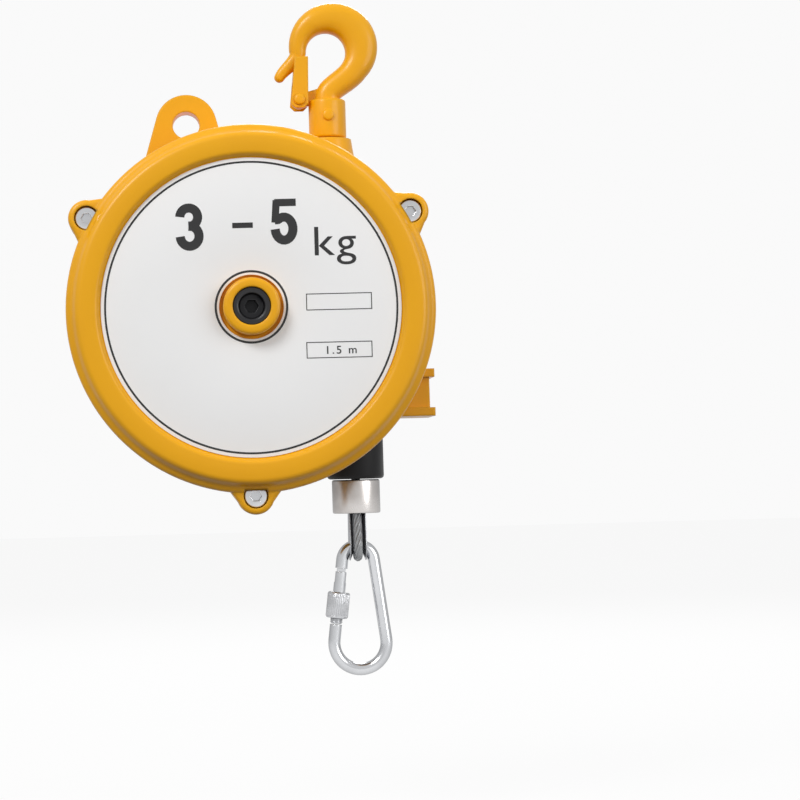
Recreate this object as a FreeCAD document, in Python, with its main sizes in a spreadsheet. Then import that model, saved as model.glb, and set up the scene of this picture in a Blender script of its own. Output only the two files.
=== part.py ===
"""Spring tool balancer: a sprung cone drum in a two-part casing that carries a tool on a wire rope.

The housing pieces are drawn about the drum axis: X to the right of the front cover, Y from the cover to the
back, Z up, with y = 0 in the plane that holds the hook and the rope. The hook pieces are drawn about the hook
seat. The document's origin is the hook seat, so every housing piece is placed by the same offset.
"""

import FreeCAD, Part
import math
import os

import Sketcher

Vector = FreeCAD.Vector

SIZES = (
    ("rim_radius", 75.0, "outer radius of the casing rim"),
    ("rim_width", 3.6, "radial width of the joint flange"),
    ("wall", 3.0, "casting wall"),
    ("split_front", 26.0, "joint plane in front of the rope plane"),
    ("cover_depth", 18.0, "rim crest in front of the joint plane"),
    ("cover_flange", 3.5, "straight flange of the cover"),
    ("crest_inset", 7.0, "crest of the cover rim inside the rim"),
    ("crest_side_inset", 0.7, "first break in the round of the cover rim, inside the rim"),
    ("crest_side_depth", 9.0, "first break in front of the joint plane"),
    ("crest_round_inset", 3.1, "second break in the round of the cover rim, inside the rim"),
    ("crest_round_depth", 14.0, "second break in front of the joint plane"),
    ("recess_inset", 13.7, "edge of the recessed cover plate inside the rim"),
    ("recess_depth", 3.0, "cover plate below the rim crest"),
    ("label_gap", 0.6, "label plate clear of the recess edge"),
    ("label_hole", 13.0, "hole in the label plate"),
    ("label_thickness", 0.5, "label plate"),
    ("hub_radius", 11.5, "hub on the cover"),
    ("hub_rise", 7.0, "hub above the cover plate"),
    ("hub_chamfer", 0.8, "edge of the hub"),
    ("bush_radius", 7.7, "outside of the front bush"),
    ("front_journal", 5.0, "front journal of the shaft"),
    ("shaft_clearance", 0.08, "running clearance on the shaft"),
    ("shaft_socket", 5.0, "hex across flats in the front shaft end"),
    ("ear_rise", 1.0, "screw circle outside the rim"),
    ("ear_radius", 7.5, "head of a screw ear"),
    ("ear_foot", 12.0, "half width of the ear where it meets the rim"),
    ("ear_flank", 20.0, "angle where the ear head meets its flanks"),
    ("ear_depth", 12.0, "thickness of an ear on the cover"),
    ("counterbore_radius", 5.0, "screw head recess"),
    ("counterbore_depth", 6.4, "screw head recess depth"),
    ("screw_radius", 2.3, "cover screw shank"),
    ("screw_head_radius", 4.25, "cover screw head"),
    ("screw_head_height", 5.0, "cover screw head height"),
    ("screw_end_gap", 1.6, "screw end below the back of its ear"),
    ("screw_clearance", 0.25, "clearance hole round a screw"),
    ("flange_thickness", 6.0, "casing flange"),
    ("face_back", 16.0, "flat back face behind the rope plane"),
    ("face_inset", 30.5, "flat back face inside the rim"),
    ("face_edge", 1.5, "rounded edge of the back face"),
    ("shoulder_inset", 2.4, "foot of the sloping shoulder inside the rim"),
    ("shoulder_break_inset", 14.0, "break in the sloping shoulder inside the rim"),
    ("shoulder_break_drop", 17.4, "break in the shoulder in front of the back face"),
    ("boss_inner", 13.0, "inner bearing boss"),
    ("rear_journal", 6.0, "rear journal of the shaft"),
    ("rear_bush", 8.0, "outside of the rear bush"),
    ("drum_gap", 0.5, "end play of the drum"),
    ("window_column_right", 27.5, "column edge of the outlet-side window"),
    ("window_column_left", 27.0, "column edge of the other window"),
    ("window_rise_right", 9.0, "top edge of the outlet-side window at its column"),
    ("window_rise_left", 5.5, "top edge of the other window at its column"),
    ("window_slope_right", 16.0, "slope of the outlet-side window"),
    ("window_slope_left", 19.7, "slope of the other window"),
    ("window_round", 2.7, "inside corner of a window"),
    ("arm_top", 25.2, "top of the outlet arm below the drum axis"),
    ("arm_height", 19.6, "outlet arm height"),
    ("arm_stand", 1.0, "end of the outlet arm outside the rim"),
    ("arm_front", 14.0, "front of the outlet arm before the rope plane"),
    ("arm_flange", 3.5, "flange of the outlet arm"),
    ("arm_pocket", 2.0, "depth of the arm's web below its flanges"),
    ("arm_pocket_stand", 6.0, "where the web pocket starts, beyond the rope outlet"),
    ("outlet_stand", 2.5, "rope outlet outside the smallest groove"),
    ("outlet_bush_radius", 5.0, "outlet bush"),
    ("outlet_bush_flange", 7.0, "flange of the outlet bush"),
    ("outlet_bush_flange_height", 1.5, "thickness of that flange"),
    ("outlet_bush_height", 6.5, "outlet bush above the arm's bottom face"),
    ("buffer_radius", 12.5, "rubber buffer"),
    ("buffer_height", 25.0, "rubber buffer"),
    ("buffer_clearance", 1.0, "recess round the buffer"),
    ("seat_gap", 0.3, "gap where a piece rests on another"),
    ("ring_radius", 10.0, "steel stop ring"),
    ("ring_height", 14.0, "steel stop ring"),
    ("ring_bore", 4.7, "hollow of the stop ring"),
    ("plate_length", 44.0, "raised bar on the back face"),
    ("plate_height", 7.7, "raised bar height"),
    ("plate_rise", 0.8, "raised bar thickness"),
    ("plate_drop", 33.0, "raised bar below the drum axis"),
    ("hook_offset", 35.5, "hook axis beside the drum axis"),
    ("boss_inset", 1.7, "top of the hook boss below the rim"),
    ("boss_top_radius", 9.8, "hook boss at its top"),
    ("boss_foot", 28.0, "foot of the hook boss above the drum axis"),
    ("boss_foot_radius", 16.5, "hook boss at its foot"),
    ("stud_radius", 4.0, "swivel stud"),
    ("nut_seat_depth", 15.3, "nut seat below the boss top"),
    ("nut_pocket", 8.8, "pocket round the swivel nut"),
    ("washer_radius", 8.0, "swivel washer"),
    ("washer_thickness", 1.6, "swivel washer"),
    ("nut_flats", 13.0, "swivel nut across flats"),
    ("nut_height", 6.5, "swivel nut"),
    ("lug_offset", 24.5, "safety lug hole beside the drum axis"),
    ("lug_rise", 4.5, "safety lug hole above the rim"),
    ("lug_head", 12.8, "safety lug head"),
    ("lug_hole", 5.65, "safety lug hole"),
    ("lug_front", 10.5, "safety lug front face"),
    ("lug_thickness", 9.0, "safety lug"),
    ("lug_outer_foot_x_inset", 27.5, "outer flank of the lug at its foot, inside the rim"),
    ("lug_outer_foot_z_inset", 28.5, "outer flank of the lug at its foot, below the rim"),
    ("lug_inner_foot_x", 6.5, "inner flank of the lug at its foot"),
    ("lug_inner_foot_inset", 13.0, "inner flank of the lug at its foot, below the rim"),
    ("lug_outer_angle", 163.5, "where the outer flank meets the head"),
    ("lug_inner_angle", 15.0, "where the inner flank meets the head"),
    ("rope_radius", 2.0, "wire rope"),
    ("rope_clearance", 0.1, "rope in its groove"),
    ("rope_bed", 28.0, "rope centre in the smallest groove, inside the drum flange"),
    ("groove_step", 4.9, "growth of the groove each turn"),
    ("groove_pitch", 5.0, "groove pitch along the drum"),
    ("drum_running_gap", 2.9, "drum flange clear of the casing"),
    ("drum_front", 29.0, "front face of the drum"),
    ("drum_flange_thickness", 4.4, "large flange of the drum"),
    ("drum_back", 8.0, "back face of the drum"),
    ("drum_hub", 13.5, "hub of the drum"),
    ("drum_bush", 10.0, "outside of the drum bush"),
    ("shaft_radius", 8.0, "shaft in the drum"),
    ("spring_wall", 3.5, "spring room beyond the smallest groove"),
    ("spring_floor", 10.0, "floor of the spring room"),
    ("relief_inset", 14.0, "lightening pocket inside the spring room"),
    ("drum_web", 4.0, "back web of the drum"),
    ("spring_cover_lap", 12.0, "spring cover beyond the spring room"),
    ("spring_cover_thickness", 1.5, "spring cover"),
    ("spring_cover_screw_place", 6.0, "screws of the spring cover beyond the spring room"),
    ("small_screw_radius", 2.0, "spring cover screw"),
    ("small_screw_head", 3.6, "spring cover screw head"),
    ("small_screw_head_height", 1.6, "spring cover screw head"),
    ("small_screw_length", 7.0, "spring cover screw"),
    ("arbor_radius", 9.5, "spring arbor"),
    ("spring_turns", 8.0, "coils of the power spring"),
    ("spring_strip", 0.9, "strip of the power spring"),
    ("spring_margin", 1.0, "spring clear of its room"),
    ("wheel_gap", 0.6, "ratchet wheel off the back face"),
    ("wheel_radius", 14.8, "ratchet wheel"),
    ("wheel_thickness", 8.0, "ratchet wheel"),
    ("wheel_root", 10.2, "root of a ratchet tooth"),
    ("wheel_teeth", 6.0, "ratchet teeth"),
    ("tooth_ramp", 44.0, "angle of a tooth's ramp"),
    ("tooth_wall", 84.5, "angle of the holding wall"),
    ("wheel_socket", 7.5, "hex across flats in the wheel"),
    ("wheel_socket_depth", 4.5, "hex socket depth"),
    ("square_drive", 8.0, "square end of the shaft"),
    ("pawl_x", 16.5, "pawl screw beside the drum axis"),
    ("pawl_z", 19.7, "pawl screw above the drum axis"),
    ("pawl_head", 7.4, "head of the pawl"),
    ("pawl_thickness", 5.4, "pawl"),
    ("pawl_lift", 1.9, "pawl off the front plane of the wheel"),
    ("pawl_spring_radius", 4.6, "pawl spring"),
    ("pawl_tip_gap", 0.35, "pawl tip off the ratchet tooth"),
    ("pawl_tip_height", 4.6, "pawl nose"),
    ("pawl_tab_x", 11.6, "thumb tab beside the pawl screw"),
    ("pawl_tab_z", 6.8, "thumb tab above the pawl screw"),
    ("pawl_screw_radius", 3.0, "pawl screw"),
    ("pawl_screw_head", 4.6, "pawl screw head"),
    ("pawl_screw_head_height", 2.4, "pawl screw head"),
    ("barrel_radius", 7.85, "swivel barrel"),
    ("barrel_length", 16.3, "swivel barrel"),
    ("barrel_drop", 28.9, "barrel top below the hook seat"),
    ("swivel_gap", 0.7, "gap under the barrel"),
    ("cross_pin_radius", 2.5, "cross pin"),
    ("cross_pin_drop", 7.2, "cross pin below the barrel top"),
    ("cross_pin_stand", 0.8, "cross pin proud of the barrel"),
    ("throat_radius", 8.3, "inside of the hook bowl"),
    ("hook_crown", 12.9, "hook section at the top"),
    ("hook_back", 13.8, "hook section at the back"),
    ("hook_front", 7.2, "hook section at the point side"),
    ("hook_depth", 11.0, "hook section across the bowl"),
    ("shank_radius", 5.2, "hook shank"),
    ("shank_length", 11.0, "shank inside the barrel"),
    ("point_reach", 19.9, "hook point beside the hook axis"),
    ("point_drop", 18.6, "hook point below the seat"),
    ("point_section", 4.4, "hook point"),
    ("latch_x", 11.8, "latch pin beside the hook axis"),
    ("latch_drop", 28.8, "latch pin below the seat"),
    ("latch_length", 18.3, "latch above its pin"),
    ("latch_web_start", 7.4, "latch web above the pin at its lower edge"),
    ("latch_web_end", 12.4, "latch web above the pin at its upper edge"),
    ("latch_lean", 2.2, "latch leans towards the hook's back over its length"),
    ("latch_foot_length", 3.6, "latch below its pin"),
    ("latch_foot_width", 7.4, "latch at its pin"),
    ("latch_top_width", 5.6, "latch at its tip"),
    ("latch_span", 10.4, "latch across the hook"),
    ("latch_sheet", 1.0, "latch sheet"),
    ("latch_pin_radius", 1.5, "latch pin"),
    ("latch_pin_head", 2.5, "latch pin head"),
    ("latch_pin_head_height", 1.0, "latch pin head"),
    ("latch_ear_thickness", 3.0, "ear that carries the latch"),
    ("latch_ear_radius", 3.3, "ear that carries the latch"),
    ("latch_spring_radius", 2.3, "latch spring"),
    ("latch_clearance", 0.25, "latch parts apart"),
    ("eye_clearance", 0.3, "rope eye round the carabiner"),
    ("eye_drop", 13.4, "carabiner wire below the stop ring"),
    ("ferrule_length", 8.0, "rope ferrule"),
    ("ferrule_radius", 4.5, "rope ferrule"),
    ("wire_radius", 2.55, "carabiner wire"),
    ("loop_small", 6.65, "small end of the carabiner"),
    ("loop_large", 10.9, "large end of the carabiner"),
    ("loop_spacing", 33.8, "between the two ends of the carabiner"),
    ("gate_start", 5.1, "gate below the small end"),
    ("gate_length", 21.5, "carabiner gate"),
    ("gate_gap", 0.4, "gap at the gate's end"),
    ("gate_pin_place", 6.2, "gate pin below the small end"),
    ("gate_pin_radius", 0.9, "gate pin"),
    ("tongue_thickness", 2.0, "flat tongue in the gate fork"),
    ("tongue_gap", 0.2, "clearance beside the tongue"),
    ("gate_nut_start", 13.5, "gate nut below the small end"),
    ("gate_nut_length", 10.8, "gate nut"),
    ("gate_nut_radius", 4.7, "gate nut"),
    ("gate_nut_clearance", 0.1, "gate nut on the gate"),
)

EAR_COUNT = 3
STRIP_SIDES = 16
RING_SIDES = 32
ROPE_SIDES = 6
WIRE_SIDES = 10
HOOK_SIDES = 12
BEND_STEPS = 10
SPRING_COVER_SCREWS = 3
ROPE_TURNS = 5


class Length:
    """A size from the sheet, or one worked out from such sizes: its value and the expression that binds it."""

    def __init__(self, text, value):
        self.text = text
        self.value = value

    def _joined(self, sign, other, value):
        return Length(f"({self.text} {sign} {other.text})", value)

    def __add__(self, other):
        other = length(other)
        return self._joined("+", other, self.value + other.value)

    def __sub__(self, other):
        other = length(other)
        return self._joined("-", other, self.value - other.value)

    def __mul__(self, other):
        other = length(other)
        return self._joined("*", other, self.value * other.value)

    def __truediv__(self, other):
        other = length(other)
        return self._joined("/", other, self.value / other.value)

    def __neg__(self):
        return length(0) - self

    def __radd__(self, other):
        return length(other) + self

    def __rsub__(self, other):
        return length(other) - self

    def __rmul__(self, other):
        return length(other) * self


def length(value):
    """A plain number as a Length; a Length stays as it is."""
    if isinstance(value, Length):
        return value
    return Length(f"{float(value)}" if value >= 0 else f"(0 - {-float(value)})", float(value))


def sine(angle):
    return Length(f"sin({angle.text})", math.sin(math.radians(angle.value)))


def cosine(angle):
    return Length(f"cos({angle.text})", math.cos(math.radians(angle.value)))


def root(area):
    return Length(f"sqrt({area.text})", math.sqrt(area.value))


doc = FreeCAD.newDocument("tool_balancer")
sheet = doc.addObject("Spreadsheet::Sheet", "Sizes")
for row, (alias, value, note) in enumerate(SIZES, start=1):
    sheet.set(f"A{row}", alias)
    sheet.set(f"B{row}", str(value))
    sheet.set(f"C{row}", note)
    sheet.setAlias(f"B{row}", alias)
doc.recompute()


class Sizes:
    """The sheet's cells as Lengths, read by their alias."""

    def __getattr__(self, alias):
        return Length(f"Sizes.{alias}", float(sheet.get(alias)))


size = Sizes()
nodes = []


def bind(thing, path, amount):
    thing.setExpression(path, length(amount).text)


def move(thing, x=0, y=0, z=0):
    """Place an object, with its place bound to the sheet."""
    for axis, amount in (("x", x), ("y", y), ("z", z)):
        bind(thing, f"Placement.Base.{axis}", amount)
    return thing


def node(thing, name, in_housing=True):
    """Name a finished sub-part and, if it is drawn about the drum axis, put it in its place under the hook."""
    thing.Label = name
    if in_housing:
        move(thing, x=-size.hook_offset, z=-SEAT_HEIGHT)
    nodes.append(thing)
    return thing


# ---------------------------------------------------------------- drawing tools


def cylinder_y(name, radius, front, back, x=0, z=0):
    thing = doc.addObject("Part::Cylinder", name)
    thing.Placement.Rotation = FreeCAD.Rotation(Vector(1, 0, 0), -90)
    bind(thing, "Radius", radius)
    bind(thing, "Height", length(back) - front)
    return move(thing, x, front, z)


def cylinder_z(name, radius, bottom, top, x=0, y=0):
    thing = doc.addObject("Part::Cylinder", name)
    bind(thing, "Radius", radius)
    bind(thing, "Height", length(top) - bottom)
    return move(thing, x, y, bottom)


def cone_z(name, bottom_radius, top_radius, bottom, top, x=0):
    thing = doc.addObject("Part::Cone", name)
    bind(thing, "Radius1", bottom_radius)
    bind(thing, "Radius2", top_radius)
    bind(thing, "Height", length(top) - bottom)
    return move(thing, x, 0, bottom)


def box(name, left, right, front, back, bottom, top):
    thing = doc.addObject("Part::Box", name)
    bind(thing, "Length", length(right) - left)
    bind(thing, "Width", length(back) - front)
    bind(thing, "Height", length(top) - bottom)
    return move(thing, left, front, bottom)


def hexagon_y(name, across_flats, front, back, x=0, z=0):
    thing = doc.addObject("Part::Prism", name)
    thing.Polygon = 6
    thing.Placement.Rotation = FreeCAD.Rotation(Vector(1, 0, 0), -90)
    bind(thing, "Circumradius", across_flats / math.sqrt(3))
    bind(thing, "Height", length(back) - front)
    return move(thing, x, front, z)


def fuse(name, *things):
    result = doc.addObject("Part::MultiFuse", name)
    result.Shapes = list(things)
    result.Refine = True
    return result


def cut(name, base, *tools):
    result = doc.addObject("Part::Cut", name)
    result.Base = base
    result.Tool = tools[0] if len(tools) == 1 else fuse(name + "_tools", *tools)
    result.Refine = True
    return result


def common(name, first, second):
    result = doc.addObject("Part::Common", name)
    result.Base = first
    result.Tool = second
    return result


def ring_of(name, thing, count):
    """Copies of an object at even steps round the drum axis."""
    copies = [thing]
    for step in range(1, count):
        copy = doc.addObject("Part::Feature", f"{name}_{step}")
        doc.recompute([thing])
        turn = FreeCAD.Placement(Vector(), FreeCAD.Rotation(Vector(0, 1, 0), 360.0 * step / count))
        copy.Shape = thing.Shape.transformed(turn.toMatrix())
        copies.append(copy)
    return copies


def group(name, things):
    """Separate solids kept together in one sub-part."""
    result = doc.addObject("Part::Compound", name)
    result.Links = list(things)
    return result


def coded(name, shape):
    """A shape made by code from the sheet's sizes, where no feature fits."""
    result = doc.addObject("Part::Feature", name)
    result.Shape = shape
    return result


def faceted(sections, closed=False):
    """A solid with flat faces between polygon sections, with ends unless it closes on itself."""
    faces = []
    pairs = list(zip(sections, sections[1:] + sections[:1]))
    for near, far in pairs if closed else pairs[:-1]:
        for index, corner in enumerate(near):
            beside = (index + 1) % len(near)
            quad = [corner, near[beside], far[beside], far[index]]
            normal = (quad[1] - quad[0]).cross(quad[3] - quad[0])
            flat = abs((quad[2] - quad[0]).dot(normal)) < 1e-7 * max(normal.Length, 1e-9)
            loops = [quad] if flat else [quad[:3], [quad[0], quad[2], quad[3]]]
            faces += [Part.Face(Part.makePolygon(loop + loop[:1])) for loop in loops]
    if not closed:
        faces += [Part.Face(Part.makePolygon(end + end[:1])) for end in (sections[0], sections[-1])]
    shell = Part.makeShell(faces)
    shell.sewShape()
    solid = Part.makeSolid(Part.Shell(shell.Faces))
    if solid.Volume < 0:
        solid.reverse()
    return solid


def polygon_about(place, across, up, half_across, half_up, sides):
    """A polygon section with flats across both directions, as wide as the round section it stands for."""
    grow = 1 / math.cos(math.pi / sides)
    corners = []
    for index in range(sides):
        angle = 2 * math.pi * (index + 0.5) / sides
        corners.append(place + across * (half_across * grow * math.cos(angle))
                       + up * (half_up * grow * math.sin(angle)))
    return corners


def draw(sketch, corners):
    """A closed outline. Each corner is (x, y), or (x, y, radius) where an arc leads to it: a positive radius
    runs anticlockwise. Every corner is pinned to the sheet by its distances from the sketch origin."""
    count = len(corners)
    points = [Vector(length(c[0]).value, length(c[1]).value, 0) for c in corners]
    ends = []
    for index in range(count):
        start, stop = points[index - 1], points[index]
        if len(corners[index]) == 2:
            edge = sketch.addGeometry(Part.LineSegment(start, stop), False)
            ends.append((edge, 1, 2))
            continue
        radius = corners[index][2]
        chord = stop - start
        side = 1 if radius.value > 0 else -1
        rise = math.sqrt(max(radius.value**2 - chord.Length**2 / 4, 0.0))
        centre = (start + stop) / 2 + Vector(-chord.y, chord.x, 0).normalize() * rise * side
        angles = [math.atan2(p.y - centre.y, p.x - centre.x) for p in (start, stop)]
        if side < 0:
            angles.reverse()
        circle = Part.Circle(centre, Vector(0, 0, 1), abs(radius.value))
        edge = sketch.addGeometry(Part.ArcOfCircle(circle, *angles), False)
        ends.append((edge, 1, 2) if side > 0 else (edge, 2, 1))
        row = sketch.addConstraint(Sketcher.Constraint("Radius", edge, abs(radius.value)))
        bind(sketch, f"Constraints[{row}]", radius if side > 0 else -radius)
    for index in range(count):
        edge, _, last = ends[index]
        following, first, _ = ends[(index + 1) % count]
        sketch.addConstraint(Sketcher.Constraint("Coincident", edge, last, following, first))
        for kind, amount, shown in (("DistanceX", corners[index][0], points[index].x),
                                    ("DistanceY", corners[index][1], points[index].y)):
            row = sketch.addConstraint(Sketcher.Constraint(kind, -1, 1, edge, last, shown))
            bind(sketch, f"Constraints[{row}]", amount)


def draw_circle(sketch, x, y, radius):
    x, y, radius = length(x), length(y), length(radius)
    edge = sketch.addGeometry(Part.Circle(Vector(x.value, y.value, 0), Vector(0, 0, 1), radius.value), False)
    for kind, amount in (("DistanceX", x), ("DistanceY", y)):
        row = sketch.addConstraint(Sketcher.Constraint(kind, -1, 1, edge, 3, amount.value))
        bind(sketch, f"Constraints[{row}]", amount)
    row = sketch.addConstraint(Sketcher.Constraint("Radius", edge, radius.value))
    bind(sketch, f"Constraints[{row}]", radius)


def new_body(name):
    return doc.addObject("PartDesign::Body", name)


def new_sketch(body, name, role, offset=0):
    """A sketch on one of the body's origin planes, moved along the plane's normal."""
    sketch = body.newObject("Sketcher::SketchObject", name)
    plane = next(p for p in body.Origin.OriginFeatures if p.Role == role)
    sketch.AttachmentSupport = [(plane, "")]
    sketch.MapMode = "FlatFace"
    bind(sketch, "AttachmentOffset.Base.z", offset)
    return sketch


def turned(body, name, corners):
    """Revolve an outline of (radius, y) corners about the drum axis."""
    sketch = new_sketch(body, name + "_profile", "XY_Plane")
    draw(sketch, corners)
    feature = body.newObject("PartDesign::Revolution", name)
    feature.Profile = sketch
    feature.ReferenceAxis = (sketch, ["V_Axis"])
    feature.Angle = 360
    return feature


def padded(body, name, outline, front, back):
    """Pad an outline of (x, z) corners, or one (x, z, radius) circle, from y = front to y = back."""
    sketch = new_sketch(body, name + "_outline", "XZ_Plane", -length(back))
    if isinstance(outline, tuple):
        draw_circle(sketch, *outline)
    else:
        draw(sketch, outline)
    feature = body.newObject("PartDesign::Pad", name)
    feature.Profile = sketch
    bind(feature, "Length", length(back) - front)
    return feature


def pocketed(body, name, outline, front, back):
    """Cut an outline of (x, z) corners, or one (x, z, radius) circle, from y = front to y = back."""
    sketch = new_sketch(body, name + "_outline", "XZ_Plane", -length(front))
    if isinstance(outline, tuple):
        draw_circle(sketch, *outline)
    else:
        draw(sketch, outline)
    feature = body.newObject("PartDesign::Pocket", name)
    feature.Profile = sketch
    bind(feature, "Length", length(back) - front)
    return feature


def patterned(body, name, features, count):
    """Repeat features evenly round the drum axis."""
    pattern = body.newObject("PartDesign::PolarPattern", name)
    pattern.Originals = features
    pattern.Axis = (features[0].Profile[0], ["N_Axis"])
    pattern.Angle = 360
    pattern.Occurrences = count
    body.Tip = pattern
    return pattern


# ---------------------------------------------------------------- places worked out from the sizes

CREST_SIDE = size.rim_radius - size.crest_side_inset
CREST_ROUND = size.rim_radius - size.crest_round_inset
CREST_RADIUS = size.rim_radius - size.crest_inset
RECESS_RADIUS = size.rim_radius - size.recess_inset
LABEL_RADIUS = RECESS_RADIUS - size.label_gap
SHOULDER_RADIUS = size.rim_radius - size.shoulder_inset
SHOULDER_BREAK = size.rim_radius - size.shoulder_break_inset
FACE_RADIUS = size.rim_radius - size.face_inset
INNER_RIM = size.rim_radius - size.rim_width
EAR_CIRCLE = size.rim_radius + size.ear_rise
DRUM_FLANGE = INNER_RIM - size.drum_running_gap
GROOVE_RADIUS = DRUM_FLANGE - size.rope_bed
SPRING_ROOM = GROOVE_RADIUS + size.spring_wall
SPRING_COVER_RADIUS = SPRING_ROOM + size.spring_cover_lap
SPRING_COVER_CIRCLE = SPRING_ROOM + size.spring_cover_screw_place
RELIEF_RADIUS = SPRING_ROOM - size.relief_inset
OUTLET = GROOVE_RADIUS + size.outlet_stand
BOSS_TOP = size.rim_radius - size.boss_inset
NUT_SEAT = BOSS_TOP - size.nut_seat_depth
LUG_HEIGHT = size.rim_radius + size.lug_rise
LUG_OUTER_X = size.rim_radius - size.lug_outer_foot_x_inset
LUG_OUTER_Z = size.rim_radius - size.lug_outer_foot_z_inset
LUG_INNER_Z = size.rim_radius - size.lug_inner_foot_inset
ARM_REACH = size.rim_radius + size.arm_stand
ARM_POCKET_START = OUTLET + size.arm_pocket_stand
SEAT_HEIGHT = BOSS_TOP + size.swivel_gap + size.barrel_length + size.barrel_drop
SPLIT = -size.split_front
CREST = SPLIT - size.cover_depth
COVER_PLATE = CREST + size.recess_depth
COVER_INSIDE = COVER_PLATE + size.wall
HUB_FRONT = COVER_PLATE - size.hub_rise
CASING_INSIDE = size.face_back - size.wall
BOSS_FRONT = size.drum_back + size.drum_gap
DRUM_FRONT = -size.drum_front
ARM_BOTTOM = -(size.arm_top + size.arm_height)
BUFFER_TOP = ARM_BOTTOM - size.seat_gap
BUFFER_BOTTOM = BUFFER_TOP - size.buffer_height
RING_TOP = BUFFER_BOTTOM - size.seat_gap
RING_BOTTOM = RING_TOP - size.ring_height
WIRE_TOP = RING_BOTTOM - size.eye_drop
WHEEL_FRONT = size.face_back + size.wheel_gap
WHEEL_BACK = WHEEL_FRONT + size.wheel_thickness
PAWL_FRONT = WHEEL_FRONT + size.pawl_lift
BUSH_FRONT = HUB_FRONT + size.hub_chamfer


def ear_outline(foot):
    """A screw ear that points down from the rim: straight flanks and a round head."""
    head_x = size.ear_radius * cosine(size.ear_flank)
    head_z = -(EAR_CIRCLE + size.ear_radius * sine(size.ear_flank))
    return [
        (-size.ear_foot, -foot),
        (-head_x, head_z),
        (head_x, head_z, size.ear_radius),
        (size.ear_foot, -foot),
    ]


# ---------------------------------------------------------------- front cover and label


def front_cover():
    body = new_body("front_cover_body")
    turned(body, "shell", [
        (size.rim_radius, SPLIT),
        (INNER_RIM, SPLIT),
        (INNER_RIM, CREST + size.cover_depth / 2),
        (CREST_RADIUS - size.wall / 2, CREST + size.wall),
        (RECESS_RADIUS, COVER_INSIDE),
        (size.hub_radius + size.wall / 2, COVER_INSIDE),
        (size.hub_radius, COVER_INSIDE + size.wall),
        (size.bush_radius, COVER_INSIDE + size.wall),
        (size.bush_radius, HUB_FRONT),
        (size.hub_radius - size.hub_chamfer, HUB_FRONT),
        (size.hub_radius, HUB_FRONT + size.hub_chamfer),
        (size.hub_radius, COVER_PLATE),
        (RECESS_RADIUS, COVER_PLATE),
        (CREST_RADIUS - size.recess_depth, CREST),
        (CREST_RADIUS, CREST),
        (CREST_ROUND, SPLIT - size.crest_round_depth),
        (CREST_SIDE, SPLIT - size.crest_side_depth),
        (size.rim_radius, SPLIT - size.cover_flange),
    ])
    ear = padded(body, "ear", ear_outline(INNER_RIM + size.seat_gap), SPLIT - size.ear_depth, SPLIT)
    patterned(body, "ears", [ear], EAR_COUNT)
    counterbore = pocketed(
        body, "counterbore", (0, -EAR_CIRCLE, size.counterbore_radius),
        SPLIT - size.ear_depth, SPLIT - size.ear_depth + size.counterbore_depth)
    hole = pocketed(
        body, "screw_hole", (0, -EAR_CIRCLE, size.screw_radius + size.screw_clearance),
        SPLIT - size.ear_depth, SPLIT)
    patterned(body, "ear_bores", [counterbore, hole], EAR_COUNT)
    return node(body, "front_cover")


def label_plate():
    body = new_body("label_plate_body")
    back = COVER_PLATE
    turned(body, "disc", [
        (LABEL_RADIUS, back),
        (size.label_hole, back),
        (size.label_hole, back - size.label_thickness),
        (LABEL_RADIUS, back - size.label_thickness),
    ])
    return node(body, "label_plate")


def cover_screws():
    head_back = SPLIT - size.ear_depth + size.counterbore_depth
    head_front = head_back - size.screw_head_height
    end = SPLIT + size.flange_thickness - size.screw_end_gap
    head = cylinder_y("screw_head", size.screw_head_radius, head_front, head_back, z=-EAR_CIRCLE)
    shank = cylinder_y("screw_shank", size.screw_radius, head_back, end, z=-EAR_CIRCLE)
    socket = hexagon_y("screw_socket", size.screw_head_radius * 0.95, head_front,
                       head_front + size.screw_head_height / 2, z=-EAR_CIRCLE)
    screw = cut("cover_screw", fuse("cover_screw_blank", head, shank), socket)
    return node(group("cover_screw_set", ring_of("cover_screw_copy", screw, EAR_COUNT)), "cover_screws")


# ---------------------------------------------------------------- rear casing


def window(name, column, rise, slope, bottom, side):
    """An opening in the sloping shoulder: a column edge, a sloping top edge, a level bottom edge and an outer
    edge that follows the flange. Its two corners at the column are rounded."""
    reach = size.rim_radius
    run = reach - column
    top = rise + run * sine(slope) / cosine(slope)
    bend = size.window_round
    lean_x = bend * cosine(slope)
    lean_z = bend * sine(slope)
    body = new_body(name + "_body")
    inner = [
        (side * (column + lean_x), rise + lean_z),
        (side * column, rise - bend, bend * side),
        (side * column, bottom + bend),
        (side * (column + bend), bottom, bend * side),
        (side * reach, bottom),
        (side * reach, top),
    ]
    padded(body, name, inner, SPLIT + size.flange_thickness + 0.01, size.face_back + 1)
    inside = cylinder_y(name + "_limit", INNER_RIM, SPLIT, size.face_back + 2)
    return common(name + "_opening", body, inside)


def casing_outside():
    body = new_body("casing_outside_body")
    turned(body, "casing_outside", [
        (0, SPLIT),
        (size.rim_radius, SPLIT),
        (size.rim_radius, SPLIT + size.flange_thickness),
        (SHOULDER_RADIUS, SPLIT + size.flange_thickness),
        (SHOULDER_BREAK, size.face_back - size.shoulder_break_drop),
        (FACE_RADIUS + size.face_edge, size.face_back - size.face_edge),
        (FACE_RADIUS, size.face_back),
        (0, size.face_back),
    ])
    ear = padded(body, "ear", ear_outline(INNER_RIM + size.seat_gap), SPLIT, SPLIT + size.flange_thickness)
    patterned(body, "ears", [ear], EAR_COUNT)
    return body


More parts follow.
